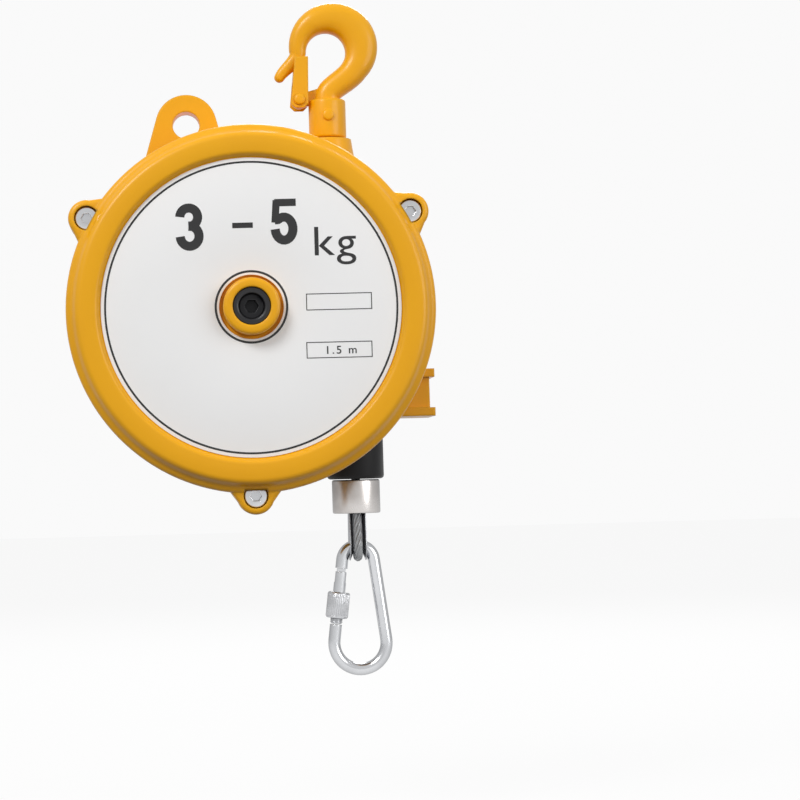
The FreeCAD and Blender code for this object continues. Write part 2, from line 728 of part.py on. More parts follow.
def casing_inside():
    """The room for the drum, with a boss left standing round the shaft."""
    body = new_body("casing_inside_body")
    turned(body, "casing_inside", [
        (0, SPLIT - 1),
        (INNER_RIM, SPLIT - 1),
        (INNER_RIM, SPLIT + size.flange_thickness / 2),
        (SHOULDER_RADIUS - size.wall, SPLIT + size.flange_thickness),
        (FACE_RADIUS - size.wall / 2, CASING_INSIDE),
        (size.boss_inner, CASING_INSIDE),
        (size.boss_inner, BOSS_FRONT),
        (0, BOSS_FRONT),
    ])
    return body


def safety_lug():
    body = new_body("safety_lug_body")
    head_x = -size.lug_offset
    outer = (head_x + size.lug_head * cosine(size.lug_outer_angle),
             LUG_HEIGHT + size.lug_head * sine(size.lug_outer_angle))
    inner = (head_x + size.lug_head * cosine(size.lug_inner_angle),
             LUG_HEIGHT + size.lug_head * sine(size.lug_inner_angle))
    front = -size.lug_front
    back = front + size.lug_thickness
    padded(body, "lug_plate", [
        (-LUG_OUTER_X, LUG_OUTER_Z),
        (*outer,),
        (*inner, -size.lug_head),
        (-size.lug_inner_foot_x, LUG_INNER_Z),
    ], front, back)
    return body


def rear_casing():
    arm = box("arm_block", FACE_RADIUS / 4, ARM_REACH, -size.arm_front, size.face_back,
              ARM_BOTTOM, -size.arm_top)
    web_bottom = ARM_BOTTOM + size.arm_flange
    web_top = -size.arm_top - size.arm_flange
    back_pocket = box("arm_back_pocket", ARM_POCKET_START, ARM_REACH + 1,
                      size.face_back - size.arm_pocket, size.face_back + 1, web_bottom, web_top)
    front_pocket = box("arm_front_pocket", ARM_POCKET_START + size.outlet_bush_radius * 2,
                       ARM_REACH + 1, -size.arm_front - 1, -size.arm_front + size.arm_pocket,
                       web_bottom, web_top)
    end_pocket = box("arm_end_pocket", ARM_REACH - size.arm_pocket, ARM_REACH + 1,
                     -size.arm_front - 1, size.face_back + 1, web_bottom, web_top)
    shaped_arm = cut("outlet_arm", arm, back_pocket, front_pocket, end_pocket)
    boss = cone_z("hook_boss", size.boss_foot_radius, size.boss_top_radius, size.boss_foot, BOSS_TOP,
                  x=size.hook_offset)
    half_plate = size.plate_length / 2 - size.plate_height / 2
    plate_back = size.face_back + size.plate_rise
    plate = fuse(
        "raised_bar",
        box("raised_bar_middle", -half_plate, half_plate, CASING_INSIDE + 1, plate_back,
            -size.plate_drop - size.plate_height / 2, -size.plate_drop + size.plate_height / 2),
        cylinder_y("raised_bar_left", size.plate_height / 2, CASING_INSIDE + 1, plate_back,
                   -half_plate, -size.plate_drop),
        cylinder_y("raised_bar_right", size.plate_height / 2, CASING_INSIDE + 1, plate_back,
                   half_plate, -size.plate_drop))
    solid = fuse("casing_solid", casing_outside(), shaped_arm, boss, safety_lug(), plate)
    buffer_room = cylinder_z("buffer_room", size.buffer_radius + size.buffer_clearance,
                             -size.rim_radius - size.ear_depth, ARM_BOTTOM, x=OUTLET)
    buffer_wall = cylinder_z("buffer_wall", size.buffer_radius + size.buffer_clearance + size.wall * 0.7,
                             -size.rim_radius, ARM_BOTTOM, x=OUTLET)
    room = cut("drum_room", casing_inside(), buffer_wall)
    right_window = window("right_window", size.window_column_right, size.window_rise_right,
                          size.window_slope_right, -size.arm_top, 1)
    left_window = window("left_window", size.window_column_left, size.window_rise_left,
                         size.window_slope_left, -size.rim_radius, -1)
    bores = [
        cylinder_y("rear_bush_bore", size.rear_bush, 0, size.face_back + 1),
        cylinder_y("lug_bore", size.lug_hole, -size.lug_front - 1, size.lug_thickness,
                   -size.lug_offset, LUG_HEIGHT),
        cylinder_y("pawl_screw_bore", size.pawl_screw_radius - size.screw_clearance, CASING_INSIDE - 1,
                   size.face_back + 1, size.pawl_x, size.pawl_z),
        cylinder_z("outlet_bore", size.outlet_bush_radius, ARM_BOTTOM - 1, 0, x=OUTLET),
        cylinder_z("outlet_flange_seat", size.outlet_bush_flange, ARM_BOTTOM - 1,
                   ARM_BOTTOM + size.outlet_bush_flange_height, x=OUTLET),
        cylinder_z("stud_bore", size.stud_radius + size.shaft_clearance, size.boss_foot, BOSS_TOP + 1,
                   x=size.hook_offset),
        cylinder_z("swivel_nut_room", size.nut_pocket, size.boss_foot, NUT_SEAT, x=size.hook_offset),
    ]
    screw_bore = cylinder_y("ear_screw_bore", size.screw_radius + size.shaft_clearance / 2, SPLIT - 1,
                            SPLIT + size.flange_thickness + 1, z=-EAR_CIRCLE)
    bores += ring_of("ear_screw_bore_copy", screw_bore, EAR_COUNT)
    casing = cut("rear_casing_shape", solid, room, buffer_room, right_window, left_window, *bores)
    return node(casing, "rear_casing")


# ---------------------------------------------------------------- bushes, shaft and drum


def bush(name, outside, inside, front, back):
    body = new_body(name + "_body")
    turned(body, name + "_ring", [(outside, front), (outside, back), (inside, back), (inside, front)])
    return node(body, name)


def outlet_bush():
    top = ARM_BOTTOM + size.outlet_bush_height
    flange = cylinder_z("outlet_bush_rim", size.outlet_bush_flange, ARM_BOTTOM,
                        ARM_BOTTOM + size.outlet_bush_flange_height, x=OUTLET)
    tube = cylinder_z("outlet_bush_tube", size.outlet_bush_radius, ARM_BOTTOM, top, x=OUTLET)
    bore = cylinder_z("outlet_bush_bore", size.rope_radius + size.seat_gap, ARM_BOTTOM - 1, top + 1,
                      x=OUTLET)
    mouth = cone_z("outlet_bush_mouth", size.rope_radius + size.seat_gap, size.outlet_bush_radius - 0.6,
                   ARM_BOTTOM + size.outlet_bush_flange_height, top + 0.01, x=OUTLET)
    return node(cut("outlet_bush_shape", fuse("outlet_bush_blank", flange, tube), bore, mouth), "outlet_bush")


def main_shaft():
    body = new_body("main_shaft_body")
    front_end = BUSH_FRONT + size.wall
    arbor_back = -size.spring_floor - size.drum_gap * 2
    turned(body, "journals", [
        (0, front_end),
        (size.front_journal, front_end),
        (size.front_journal, COVER_INSIDE + size.wall + size.drum_gap),
        (size.arbor_radius, COVER_INSIDE + size.wall + size.drum_gap),
        (size.arbor_radius, arbor_back),
        (size.shaft_radius, arbor_back),
        (size.shaft_radius, BOSS_FRONT - size.shaft_clearance * 2),
        (size.rear_journal, BOSS_FRONT - size.shaft_clearance * 2),
        (size.rear_journal, WHEEL_FRONT - size.shaft_clearance),
        (0, WHEEL_FRONT - size.shaft_clearance),
    ])
    half = size.square_drive / 2
    drive_end = WHEEL_BACK - size.wheel_socket_depth
    padded(body, "square", [(-half, -half), (half, -half), (half, half), (-half, half)],
           size.face_back, drive_end)
    flat = size.shaft_socket / 2
    corner = size.shaft_socket / math.sqrt(3)
    pocketed(body, "front_socket", [
        (corner, 0), (corner / 2, flat), (-(corner / 2), flat),
        (-corner, 0), (-(corner / 2), -flat), (corner / 2, -flat),
    ], front_end, front_end + size.shaft_socket)
    return node(body, "main_shaft")


def groove_centre(turn):
    """Rope centre in one turn of the groove: its radius and its y."""
    return GROOVE_RADIUS + size.groove_step * turn, -(size.groove_pitch * turn)


def rope_drum():
    """The cone drum: steps that grow towards the front, a large flange, and room for the spring."""
    grip = size.rope_radius + size.rope_clearance
    flange_back = DRUM_FRONT + size.drum_flange_thickness
    profile = [(GROOVE_RADIUS - grip, size.drum_back)]
    for turn in range(ROPE_TURNS):
        radius, place = groove_centre(turn)
        floor = radius - grip
        profile += [(floor, place - grip), (floor + size.groove_step, place - grip)]
    last_floor = profile[-1][0]
    profile += [
        (last_floor, flange_back),
        (DRUM_FLANGE, flange_back),
        (DRUM_FLANGE, DRUM_FRONT),
        (SPRING_ROOM, DRUM_FRONT),
        (SPRING_ROOM, -size.spring_floor),
        (RELIEF_RADIUS, -size.spring_floor),
        (RELIEF_RADIUS, size.drum_back - size.drum_web),
        (size.drum_hub, size.drum_back - size.drum_web),
        (size.drum_hub, -size.spring_floor),
        (size.drum_bush, -size.spring_floor),
        (size.drum_bush, size.drum_back),
    ]
    body = new_body("rope_drum_body")
    turned(body, "drum", profile)
    hole = pocketed(body, "cover_screw_hole", (0, SPRING_COVER_CIRCLE, size.small_screw_radius),
                    DRUM_FRONT, DRUM_FRONT + size.small_screw_length)
    patterned(body, "cover_screw_holes", [hole], SPRING_COVER_SCREWS)
    return node(body, "rope_drum")


def spring_cover():
    front = DRUM_FRONT - size.spring_cover_thickness
    body = new_body("spring_cover_body")
    turned(body, "disc", [
        (SPRING_COVER_RADIUS, front),
        (SPRING_COVER_RADIUS, DRUM_FRONT),
        (size.arbor_radius + size.drum_gap, DRUM_FRONT),
        (size.arbor_radius + size.drum_gap, front),
    ])
    hole = pocketed(body, "screw_hole",
                    (0, SPRING_COVER_CIRCLE, size.small_screw_radius + size.screw_clearance),
                    front, DRUM_FRONT)
    patterned(body, "screw_holes", [hole], SPRING_COVER_SCREWS)
    return node(body, "spring_cover")


def spring_cover_screws():
    seat = DRUM_FRONT - size.spring_cover_thickness
    place = SPRING_COVER_CIRCLE
    head = cylinder_y("small_head", size.small_screw_head, seat - size.small_screw_head_height, seat, z=place)
    shank = cylinder_y("small_shank", size.small_screw_radius - size.shaft_clearance / 2, seat,
                       DRUM_FRONT + size.small_screw_length - size.seat_gap, z=place)
    screw = fuse("spring_cover_screw", head, shank)
    copies = ring_of("spring_cover_screw_copy", screw, SPRING_COVER_SCREWS)
    return node(group("spring_cover_screw_set", copies), "spring_cover_screws")


def power_spring():
    """A flat strip wound from the arbor to the wall of the spring room, in straight lengths."""
    inner = size.arbor_radius.value + size.spring_margin.value / 2
    outer = SPRING_ROOM.value - size.spring_margin.value
    strip = size.spring_strip.value
    front = DRUM_FRONT.value + size.spring_margin.value
    back = -size.spring_floor.value - size.spring_margin.value
    steps = int(size.spring_turns.value) * STRIP_SIDES
    sections = []
    for step in range(steps + 1):
        angle = 2 * math.pi * step / STRIP_SIDES
        near = inner + (outer - inner - strip) * step / steps
        out = Vector(math.cos(angle), 0, math.sin(angle))
        sections.append([out * near + Vector(0, front, 0), out * (near + strip) + Vector(0, front, 0),
                         out * (near + strip) + Vector(0, back, 0), out * near + Vector(0, back, 0)])
    return node(coded("power_spring_shape", faceted(sections)), "power_spring")


# ---------------------------------------------------------------- wire rope


def lead_angle():
    """Where the rope leaves the smallest groove to run straight to the outlet bush."""
    x = OUTLET.value
    z = (ARM_BOTTOM + size.outlet_bush_height).value
    reach = math.hypot(x, z)
    return math.acos(GROOVE_RADIUS.value / reach) - math.atan2(-z, x)


def rope_along(points, bend):
    """A round rope along straight runs joined by one tangent arc where there is a middle point."""
    radius = size.rope_radius.value
    if len(points) == 2:
        run = points[1] - points[0]
        return Part.makeCylinder(radius, run.Length, points[0], run)
    start, corner, stop = points
    before = (start - corner).normalize()
    after = (stop - corner).normalize()
    half_turn = (math.pi - before.getAngle(after)) / 2
    setback = bend * math.tan(half_turn)
    arc_start = corner + before * setback
    arc_stop = corner + after * setback
    bisector = (before + after).normalize()
    centre = corner + bisector * (bend / math.cos(half_turn))
    arc_middle = centre - bisector * bend
    path = Part.Wire([
        Part.LineSegment(start, arc_start).toShape(),
        Part.Arc(arc_start, arc_middle, arc_stop).toShape(),
        Part.LineSegment(arc_stop, stop).toShape(),
    ])
    section = Part.Wire([Part.makeCircle(radius, start, corner - start)])
    return path.makePipeShell([section], True, True)


def rope_wound():
    """The rope on the drum, one ring to a turn. Each ring is a run of straight lengths that touch the round
    it stands for; the smallest ring is open, and starts on the line of the rope that leaves it."""
    half = math.pi / RING_SIDES
    rope = size.rope_radius.value
    flat = rope * math.cos(math.pi / ROPE_SIDES)
    axis = Vector(0, 1, 0)
    rings = []
    for turn in range(ROPE_TURNS):
        radius, place = (amount.value for amount in groove_centre(turn))
        lead = lead_angle()
        sections = []
        for step in range(RING_SIDES):
            angle = lead + half * (2 * step + 1)
            out = Vector(math.cos(angle), 0, math.sin(angle))
            sections.append(polygon_about(out * (radius / math.cos(half)) + axis * place, out, axis,
                                          rope / math.cos(half), flat, ROPE_SIDES))
        if turn == 0:
            out = Vector(math.cos(lead), 0, math.sin(lead))
            sections = sections[:-3]
            sections.insert(0, polygon_about(out * radius + axis * place, out, axis, rope, flat, ROPE_SIDES))
        rings.append(coded(f"rope_turn_{turn}", faceted(sections, closed=turn > 0)))
    return node(group("rope_wound_shape", rings), "rope_wound")


def rope_lead():
    """From the drum to the outlet: it leaves the groove on a tangent and turns down in the bush."""
    angle = lead_angle()
    radius = GROOVE_RADIUS.value
    leave = Vector(radius * math.cos(angle), 0, radius * math.sin(angle))
    turn = Vector(OUTLET.value, 0, (ARM_BOTTOM + size.outlet_bush_height).value)
    end = Vector(OUTLET.value, 0, ARM_BOTTOM.value)
    shape = rope_along([leave, turn, end], GROOVE_RADIUS.value)
    return node(coded("rope_lead_shape", shape), "rope_lead")


def rope_drop():
    """The straight rope below the outlet, through the buffer to the ferrule in the stop ring."""
    top = ARM_BOTTOM
    bottom = RING_TOP - size.seat_gap
    rope = cylinder_z("rope_drop_run", size.rope_radius, bottom, top, x=OUTLET)
    return node(group("rope_drop_shape", [rope]), "rope_drop")


def rubber_buffer():
    bore = cylinder_z("buffer_bore", size.rope_radius + size.seat_gap, BUFFER_BOTTOM - 1, BUFFER_TOP + 1,
                      x=OUTLET)
    block = cylinder_z("buffer_block", size.buffer_radius, BUFFER_BOTTOM, BUFFER_TOP, x=OUTLET)
    rounded = doc.addObject("Part::Chamfer", "buffer_rounded")
    rounded.Base = block
    doc.recompute()
    rims = [i + 1 for i, e in enumerate(block.Shape.Edges) if e.Closed and len(e.Vertexes) == 1
            and isinstance(e.Curve, Part.Circle)]
    rounded.Edges = [(i, 1.0, 1.0) for i in rims]
    return node(cut("buffer_shape", rounded, bore), "rubber_buffer")


def stop_ring():
    block = cylinder_z("ring_block", size.ring_radius, RING_BOTTOM, RING_TOP, x=OUTLET)
    rope_hole = cylinder_z("ring_rope_hole", size.rope_radius + size.seat_gap, RING_BOTTOM - 1, RING_TOP + 1,
                           x=OUTLET)
    hollow = cylinder_z("ring_hollow", size.ring_bore, RING_BOTTOM - 1, RING_TOP - size.wall,
                        x=OUTLET)
    screw_hole = cylinder_y("ring_screw_hole", size.small_screw_radius, 0, size.ring_radius + 1,
                            x=OUTLET, z=RING_BOTTOM + size.ring_height / 2)
    return node(cut("stop_ring_shape", block, rope_hole, hollow, screw_hole), "stop_ring")


def stop_ring_screw():
    z = RING_BOTTOM + size.ring_height / 2
    plug = cylinder_y("grub_screw", size.small_screw_radius - size.shaft_clearance / 2,
                      size.ferrule_radius + size.seat_gap, size.ring_radius - size.seat_gap,
                      x=OUTLET, z=z)
    socket = hexagon_y("grub_socket", size.small_screw_radius, size.ring_radius - size.small_screw_radius,
                       size.ring_radius, x=OUTLET, z=z)
    return node(cut("stop_ring_screw_shape", plug, socket), "stop_ring_screw")


FERRULE_TOP = RING_TOP - size.wall - size.seat_gap
FERRULE_BOTTOM = FERRULE_TOP - size.ferrule_length


def rope_ferrule():
    block = cylinder_z("ferrule_block", size.ferrule_radius, FERRULE_BOTTOM, FERRULE_TOP,
                       x=OUTLET)
    return node(group("rope_ferrule_shape", [block]), "rope_ferrule")


def rope_eye():
    """The rope doubled round the carabiner wire: a half circle with two legs that close up to the ferrule."""
    radius = size.wire_radius.value + size.rope_radius.value + size.eye_clearance.value
    x = OUTLET.value
    centre = WIRE_TOP.value
    top = FERRULE_BOTTOM.value - size.seat_gap.value * 1.5
    close = size.rope_radius.value + size.eye_clearance.value / 4
    rise = top - centre
    reach = math.hypot(close, rise)
    tangent = math.atan2(rise, close) - math.acos(radius / reach)
    y_side = radius * math.cos(tangent)
    z_side = radius * math.sin(tangent)
    left_foot = Vector(x, -y_side, centre + z_side)
    right_foot = Vector(x, y_side, centre + z_side)
    path = Part.Wire([
        Part.LineSegment(Vector(x, -close, top), left_foot).toShape(),
        Part.Arc(left_foot, Vector(x, 0, centre - radius), right_foot).toShape(),
        Part.LineSegment(right_foot, Vector(x, close, top)).toShape(),
    ])
    section = Part.Wire([Part.makeCircle(size.rope_radius.value, Vector(x, -close, top),
                                         left_foot - Vector(x, -close, top))])
    return node(coded("rope_eye_shape", path.makePipeShell([section], True, True)), "rope_eye")


# ---------------------------------------------------------------- ratchet


def ratchet_wheel():
    body = new_body("ratchet_wheel_body")
    padded(body, "disc", (0, 0, size.wheel_radius), WHEEL_FRONT, WHEEL_BACK)
    wall = size.tooth_wall
    crest = size.tooth_wall - size.tooth_ramp
    outside = size.wheel_radius * 1.4
    notch = pocketed(body, "tooth_space", [
        (size.wheel_root * cosine(wall), size.wheel_root * sine(wall)),
        (size.wheel_radius * cosine(crest), size.wheel_radius * sine(crest)),
        (outside * cosine(crest), outside * sine(crest)),
        (outside * cosine(wall), outside * sine(wall)),
    ], WHEEL_FRONT, WHEEL_BACK)
    patterned(body, "teeth", [notch], int(size.wheel_teeth.value))
    flat = size.wheel_socket / 2
    corner = size.wheel_socket / math.sqrt(3)
    pocketed(body, "hex_socket", [
        (corner, 0), (corner / 2, flat), (-(corner / 2), flat),
        (-corner, 0), (-(corner / 2), -flat), (corner / 2, -flat),
    ], WHEEL_BACK - size.wheel_socket_depth, WHEEL_BACK)
    half = size.square_drive / 2
    pocketed(body, "square_bore", [(-half, -half), (half, -half), (half, half), (-half, half)],
             WHEEL_FRONT, WHEEL_BACK - size.wheel_socket_depth)
    return node(body, "ratchet_wheel")


def ratchet_pawl():
    """A flat pawl: a round head on its screw, a nose that drops into a tooth space and a pointed thumb tab."""
    px, pz = size.pawl_x, size.pawl_z
    nose_x = size.wheel_root * cosine(size.tooth_wall) + size.pawl_tip_gap
    nose_z = size.wheel_root * sine(size.tooth_wall) + size.pawl_tip_gap
    nose_top = nose_z + size.pawl_tip_height
    wall_lean = size.pawl_tip_height * cosine(size.tooth_wall)
    head = size.pawl_head
    body = new_body("ratchet_pawl_body")
    padded(body, "blade", [
        (nose_x, nose_z),
        (px - head * 0.35, pz - head * 0.93),
        (px + head, pz, head),
        (px + size.pawl_tab_x, pz + size.pawl_tab_z),
        (px + head * 0.25, pz + head * 0.97),
        (px - head * 0.62, pz + head * 0.78, head),
        (nose_x + wall_lean, nose_top),
    ], PAWL_FRONT, PAWL_FRONT + size.pawl_thickness)
    pocketed(body, "pivot", (px, pz, size.pawl_screw_radius + size.shaft_clearance),
             PAWL_FRONT, PAWL_FRONT + size.pawl_thickness)
    return node(body, "ratchet_pawl")


def pawl_spring():
    """The coil on the pawl screw that keeps the nose in the ratchet."""
    x, z = size.pawl_x, size.pawl_z
    front = size.face_back + size.latch_clearance
    back = PAWL_FRONT - size.latch_clearance
    coil = cylinder_y("pawl_coil", size.pawl_spring_radius, front, back, x, z)
    hole = cylinder_y("pawl_coil_hole", size.pawl_screw_radius + size.latch_clearance, front - 1, back + 1, x, z)
    return node(cut("pawl_spring_shape", coil, hole), "pawl_spring")


def pawl_screw():
    x, z = size.pawl_x, size.pawl_z
    seat = PAWL_FRONT + size.pawl_thickness + size.seat_gap
    end = CASING_INSIDE
    head = cylinder_y("pawl_screw_head", size.pawl_screw_head, seat, seat + size.pawl_screw_head_height, x, z)
    post = cylinder_y("pawl_screw_post", size.pawl_screw_radius, size.face_back, seat, x, z)
    thread = cylinder_y("pawl_screw_thread", size.pawl_screw_radius - size.screw_clearance, end,
                        size.face_back, x, z)
    socket = hexagon_y("pawl_screw_socket", size.pawl_screw_head, seat + size.pawl_screw_head_height / 3,
                       seat + size.pawl_screw_head_height, x, z)
    return node(cut("pawl_screw_shape", fuse("pawl_screw_blank", head, post, thread), socket), "pawl_screw")


# ---------------------------------------------------------------- hook and swivel


def bezier(start, start_pull, stop_pull, stop, t):
    return (start * (1 - t) ** 3 + start_pull * (3 * t * (1 - t) ** 2)
            + stop_pull * (3 * t**2 * (1 - t)) + stop * t**3)


def hook_stations():
    """Centres and in-plane thicknesses along the forging, from the shank up round the bowl to the point.
    Round the bowl the section fills the space between the throat circle and a larger outer circle."""
    throat = size.throat_radius.value
    back, front, crown = size.hook_back.value, size.hook_front.value, size.hook_crown.value
    outer = throat + (back + front) / 2
    centre_x = (back - front) / 2
    centre_z = throat + crown - math.sqrt(outer**2 - centre_x**2)
    bowl = Vector(0, 0, -throat)

    def round_bowl(angle):
        ray = Vector(math.cos(math.radians(angle)), 0, math.sin(math.radians(angle)))
        along = ray.x * centre_x + ray.z * centre_z
        reach = along + math.sqrt(along**2 + outer**2 - centre_x**2 - centre_z**2)
        return bowl + ray * ((throat + reach) / 2), reach - throat

    shank = size.shank_radius.value * 2
    collar = -size.barrel_drop.value
    stations = [
        (Vector(0, 0, collar - size.shank_length.value), shank),
        (Vector(0, 0, collar), shank),
    ]
    first_angle, last_angle, step = -30, 180, 30
    entry, entry_thickness = round_bowl(first_angle)
    tangent = Vector(math.sin(math.radians(first_angle)), 0, -math.cos(math.radians(first_angle)))
    lower = Vector(0, 0, collar + 1)
    for t in (0.35, 0.7):
        place = bezier(lower, lower + Vector(0, 0, throat * 0.55), entry + tangent * throat * 0.75, entry, t)
        stations.append((place, shank + (entry_thickness - shank) * t**2))
    for angle in range(first_angle, last_angle + 1, step):
        stations.append(round_bowl(angle))
    leave, leave_thickness = stations[-1]
    point = Vector(-size.point_reach.value, 0, -size.point_drop.value)
    point_size = size.point_section.value
    for t in (0.4, 0.75, 1.0):
        place = bezier(leave, leave + Vector(0, 0, -throat * 0.4), point + Vector(1.6, 0, throat * 0.4), point, t)
        stations.append((place, leave_thickness + (point_size - leave_thickness) * t))
    return stations


def upper_hook():
    stations = hook_stations()
    places = [place for place, _ in stations]
    sections = []
    for index, (place, thickness) in enumerate(stations):
        ahead = places[min(index + 1, len(places) - 1)]
        behind = places[max(index - 1, 0)]
        along = Vector(0, 0, 1) if index < 2 else (ahead - behind).normalize()
        half = thickness / 2
        depth = min(half, size.hook_depth.value / 2)
        sections.append(polygon_about(place, along.cross(Vector(0, 1, 0)), Vector(0, 1, 0), half, depth,
                                      HOOK_SIDES))
    forging = faceted(sections)
    pin_hole = Part.makeCylinder(
        (size.cross_pin_radius + size.shaft_clearance / 2).value, 4 * size.barrel_radius.value,
        Vector(0, -2 * size.barrel_radius.value, -(size.barrel_drop + size.cross_pin_drop).value),
        Vector(0, 1, 0))
    shape = forging.fuse(latch_ear()).cut(pin_hole)
    return node(coded("upper_hook_shape", shape), "upper_hook", in_housing=False)


def latch_ear():
    """The ear on the hook's neck that the latch pin passes through, with its pin hole."""
    half = size.latch_ear_thickness.value / 2
    radius = size.latch_ear_radius.value
    pin = Vector(-size.latch_x.value, -half, -size.latch_drop.value)
    eye = Part.makeCylinder(radius, 2 * half, pin, Vector(0, 1, 0))
    top = Part.makeBox(size.latch_x.value, 2 * half, radius * 1.3,
                       Vector(-size.latch_x.value, -half, -size.barrel_drop.value + size.seat_gap.value))
    hole = Part.makeCylinder(size.latch_pin_radius.value, 4 * half, pin - Vector(0, half, 0), Vector(0, 1, 0))
    return eye.fuse(top).cut(hole)


def hook_barrel():
    top = -size.barrel_drop
    bottom = top - size.barrel_length
    stud_end = -SEAT_HEIGHT + NUT_SEAT - size.washer_thickness - size.nut_height - size.seat_gap * 4
    barrel = cylinder_z("barrel", size.barrel_radius, bottom, top)
    stud = cylinder_z("stud", size.stud_radius, stud_end, bottom)
    bore = cylinder_z("shank_bore", size.shank_radius + size.seat_gap, top - size.shank_length - size.seat_gap,
                      top + 1)
    pin = cylinder_y("cross_pin_bore", size.cross_pin_radius + size.shaft_clearance / 2, -size.barrel_radius * 2,
                     size.barrel_radius * 2, z=top - size.cross_pin_drop)
    shape = cut("hook_barrel_shape", fuse("hook_barrel_blank", barrel, stud), bore, pin)
    return node(shape, "hook_barrel", in_housing=False)


def hook_cross_pin():
    reach = size.barrel_radius + size.cross_pin_stand
    pin = cylinder_y("cross_pin", size.cross_pin_radius, -reach, reach, z=-size.barrel_drop - size.cross_pin_drop)
    return node(pin, "hook_cross_pin", in_housing=False)


def swivel_washer():
    top = -SEAT_HEIGHT + NUT_SEAT - size.seat_gap
    disc = cylinder_z("washer_disc", size.washer_radius, top - size.washer_thickness, top)
    hole = cylinder_z("washer_hole", size.stud_radius + size.shaft_clearance, top - size.washer_thickness - 1,
                      top + 1)
    return node(cut("swivel_washer_shape", disc, hole), "swivel_washer", in_housing=False)


def swivel_nut():
    top = -SEAT_HEIGHT + NUT_SEAT - size.seat_gap - size.washer_thickness
    prism = doc.addObject("Part::Prism", "nut_prism")
    prism.Polygon = 6
    bind(prism, "Circumradius", size.nut_flats / math.sqrt(3))
    bind(prism, "Height", size.nut_height)
    move(prism, z=top - size.nut_height)
    hole = cylinder_z("nut_thread", size.stud_radius + size.shaft_clearance / 2, top - size.nut_height - 1,
                      top + 1)
    return node(cut("swivel_nut_shape", prism, hole), "swivel_nut", in_housing=False)


def hook_latch():
    """A folded channel that closes the throat. Its web stops short of the hook's point and its two flanks
    pass beside the point and the ear."""
    pin_x, pin_z = -size.latch_x, -size.latch_drop
    top = pin_z + size.latch_length
    foot = pin_z - size.latch_foot_length
    half_foot, half_span = size.latch_foot_width / 2, size.latch_span / 2
    outer = pin_x - half_foot
    slope = size.latch_lean / size.latch_length
    inner = pin_x + half_foot
    web_low, web_high = pin_z + size.latch_web_start, pin_z + size.latch_web_end
    body = new_body("hook_latch_body")
    padded(body, "channel", [
        (outer, pin_z - size.latch_foot_length / 2),
        (pin_x - half_foot / 2, foot),
        (pin_x + half_foot / 2, foot),
        (inner, pin_z - size.latch_foot_length / 2),
        (outer + size.latch_lean + size.latch_top_width, top),
        (outer + size.latch_lean, top),
    ], -half_span, half_span)
    inside = half_span - size.latch_sheet
    pocketed(body, "channel_room", [
        (outer - 1, foot - 1),
        (inner + 2, foot - 1),
        (inner + 2, top + 1),
        (outer - 1, top + 1),
        (outer - 1, web_high),
        (outer + size.latch_sheet + slope * size.latch_web_end, web_high),
        (outer + size.latch_sheet + slope * size.latch_web_start, web_low),
        (outer - 1, web_low),
    ], -inside, inside)
    pocketed(body, "pin_hole", (pin_x, pin_z, size.latch_pin_radius + size.shaft_clearance),
             -half_span, half_span)
    return node(body, "hook_latch", in_housing=False)


def latch_pin():
    x, z = -size.latch_x, -size.latch_drop
    face = size.latch_span / 2 + size.latch_clearance
    end = face + size.latch_pin_head_height
    shape = fuse(
        "latch_pin_shape",
        cylinder_y("latch_pin_shank", size.latch_pin_radius, -face, face, x, z),
        cylinder_y("latch_pin_front", size.latch_pin_head, -end, -face, x, z),
        cylinder_y("latch_pin_back", size.latch_pin_head, face, end, x, z))
    return node(shape, "latch_pin", in_housing=False)


def latch_spring():
    """The coil on the latch pin, beside the ear."""
    x, z = -size.latch_x, -size.latch_drop
    start = size.latch_ear_thickness / 2 + size.latch_clearance
    stop = size.latch_span / 2 - size.latch_sheet - size.latch_clearance
    coil = cylinder_y("latch_coil", size.latch_spring_radius, start, stop, x, z)
    hole = cylinder_y("latch_coil_hole", size.latch_pin_radius + size.shaft_clearance, start - 1, stop + 1, x, z)
    return node(cut("latch_spring_shape", coil, hole), "latch_spring", in_housing=False)


# ---------------------------------------------------------------- carabiner


class Carabiner:
    """Places on the carabiner: two loops of different radius joined by straight tangents."""

    def __init__(self):
        self.x = OUTLET.value
        self.small = size.loop_small.value
        self.large = size.loop_large.value
        self.top = Vector(self.x, 0, WIRE_TOP.value - self.small)
        self.bottom = self.top - Vector(0, 0, size.loop_spacing.value)
        self.lean = math.asin((self.large - self.small) / size.loop_spacing.value)

    def side(self, centre, radius, hand):
        return centre + Vector(hand * math.cos(self.lean), 0, math.sin(self.lean)) * radius

    def down(self, hand):
        return Vector(hand * math.sin(self.lean), 0, -math.cos(self.lean))

    def section(self, place, hand):
        """The wire's section on one of the straights; its first direction points outwards."""
        across = Vector(hand * math.cos(self.lean), 0, math.sin(self.lean))
        return polygon_about(place, across, Vector(0, 1, 0), size.wire_radius.value, size.wire_radius.value,
                             WIRE_SIDES)

    def bend(self, centre, radius, first, last):
        """The wire's sections between the two ends of a round."""
        sections = []
        for step in range(1, BEND_STEPS):
            angle = first + (last - first) * step / BEND_STEPS
            out = Vector(math.cos(angle), 0, math.sin(angle))
            sections.append(polygon_about(centre + out * radius, out, Vector(0, 1, 0), size.wire_radius.value,
                                          size.wire_radius.value, WIRE_SIDES))
        return sections

    def along_gate(self, distance):
        return self.side(self.top, self.small, -1) + self.down(-1) * distance


def rod(radius, start, stop):
    run = stop - start
    return Part.makeCylinder(radius, run.Length, start, run)


def tilted_box(start, direction, run, across, depth):
    """A bar with a rectangular section whose middle line starts at a point and runs along a direction."""
    solid = Part.makeBox(across, depth, run, Vector(-across / 2, -depth / 2, 0))
    solid.Placement = FreeCAD.Placement(start, FreeCAD.Rotation(Vector(0, 0, 1), direction))
    return solid


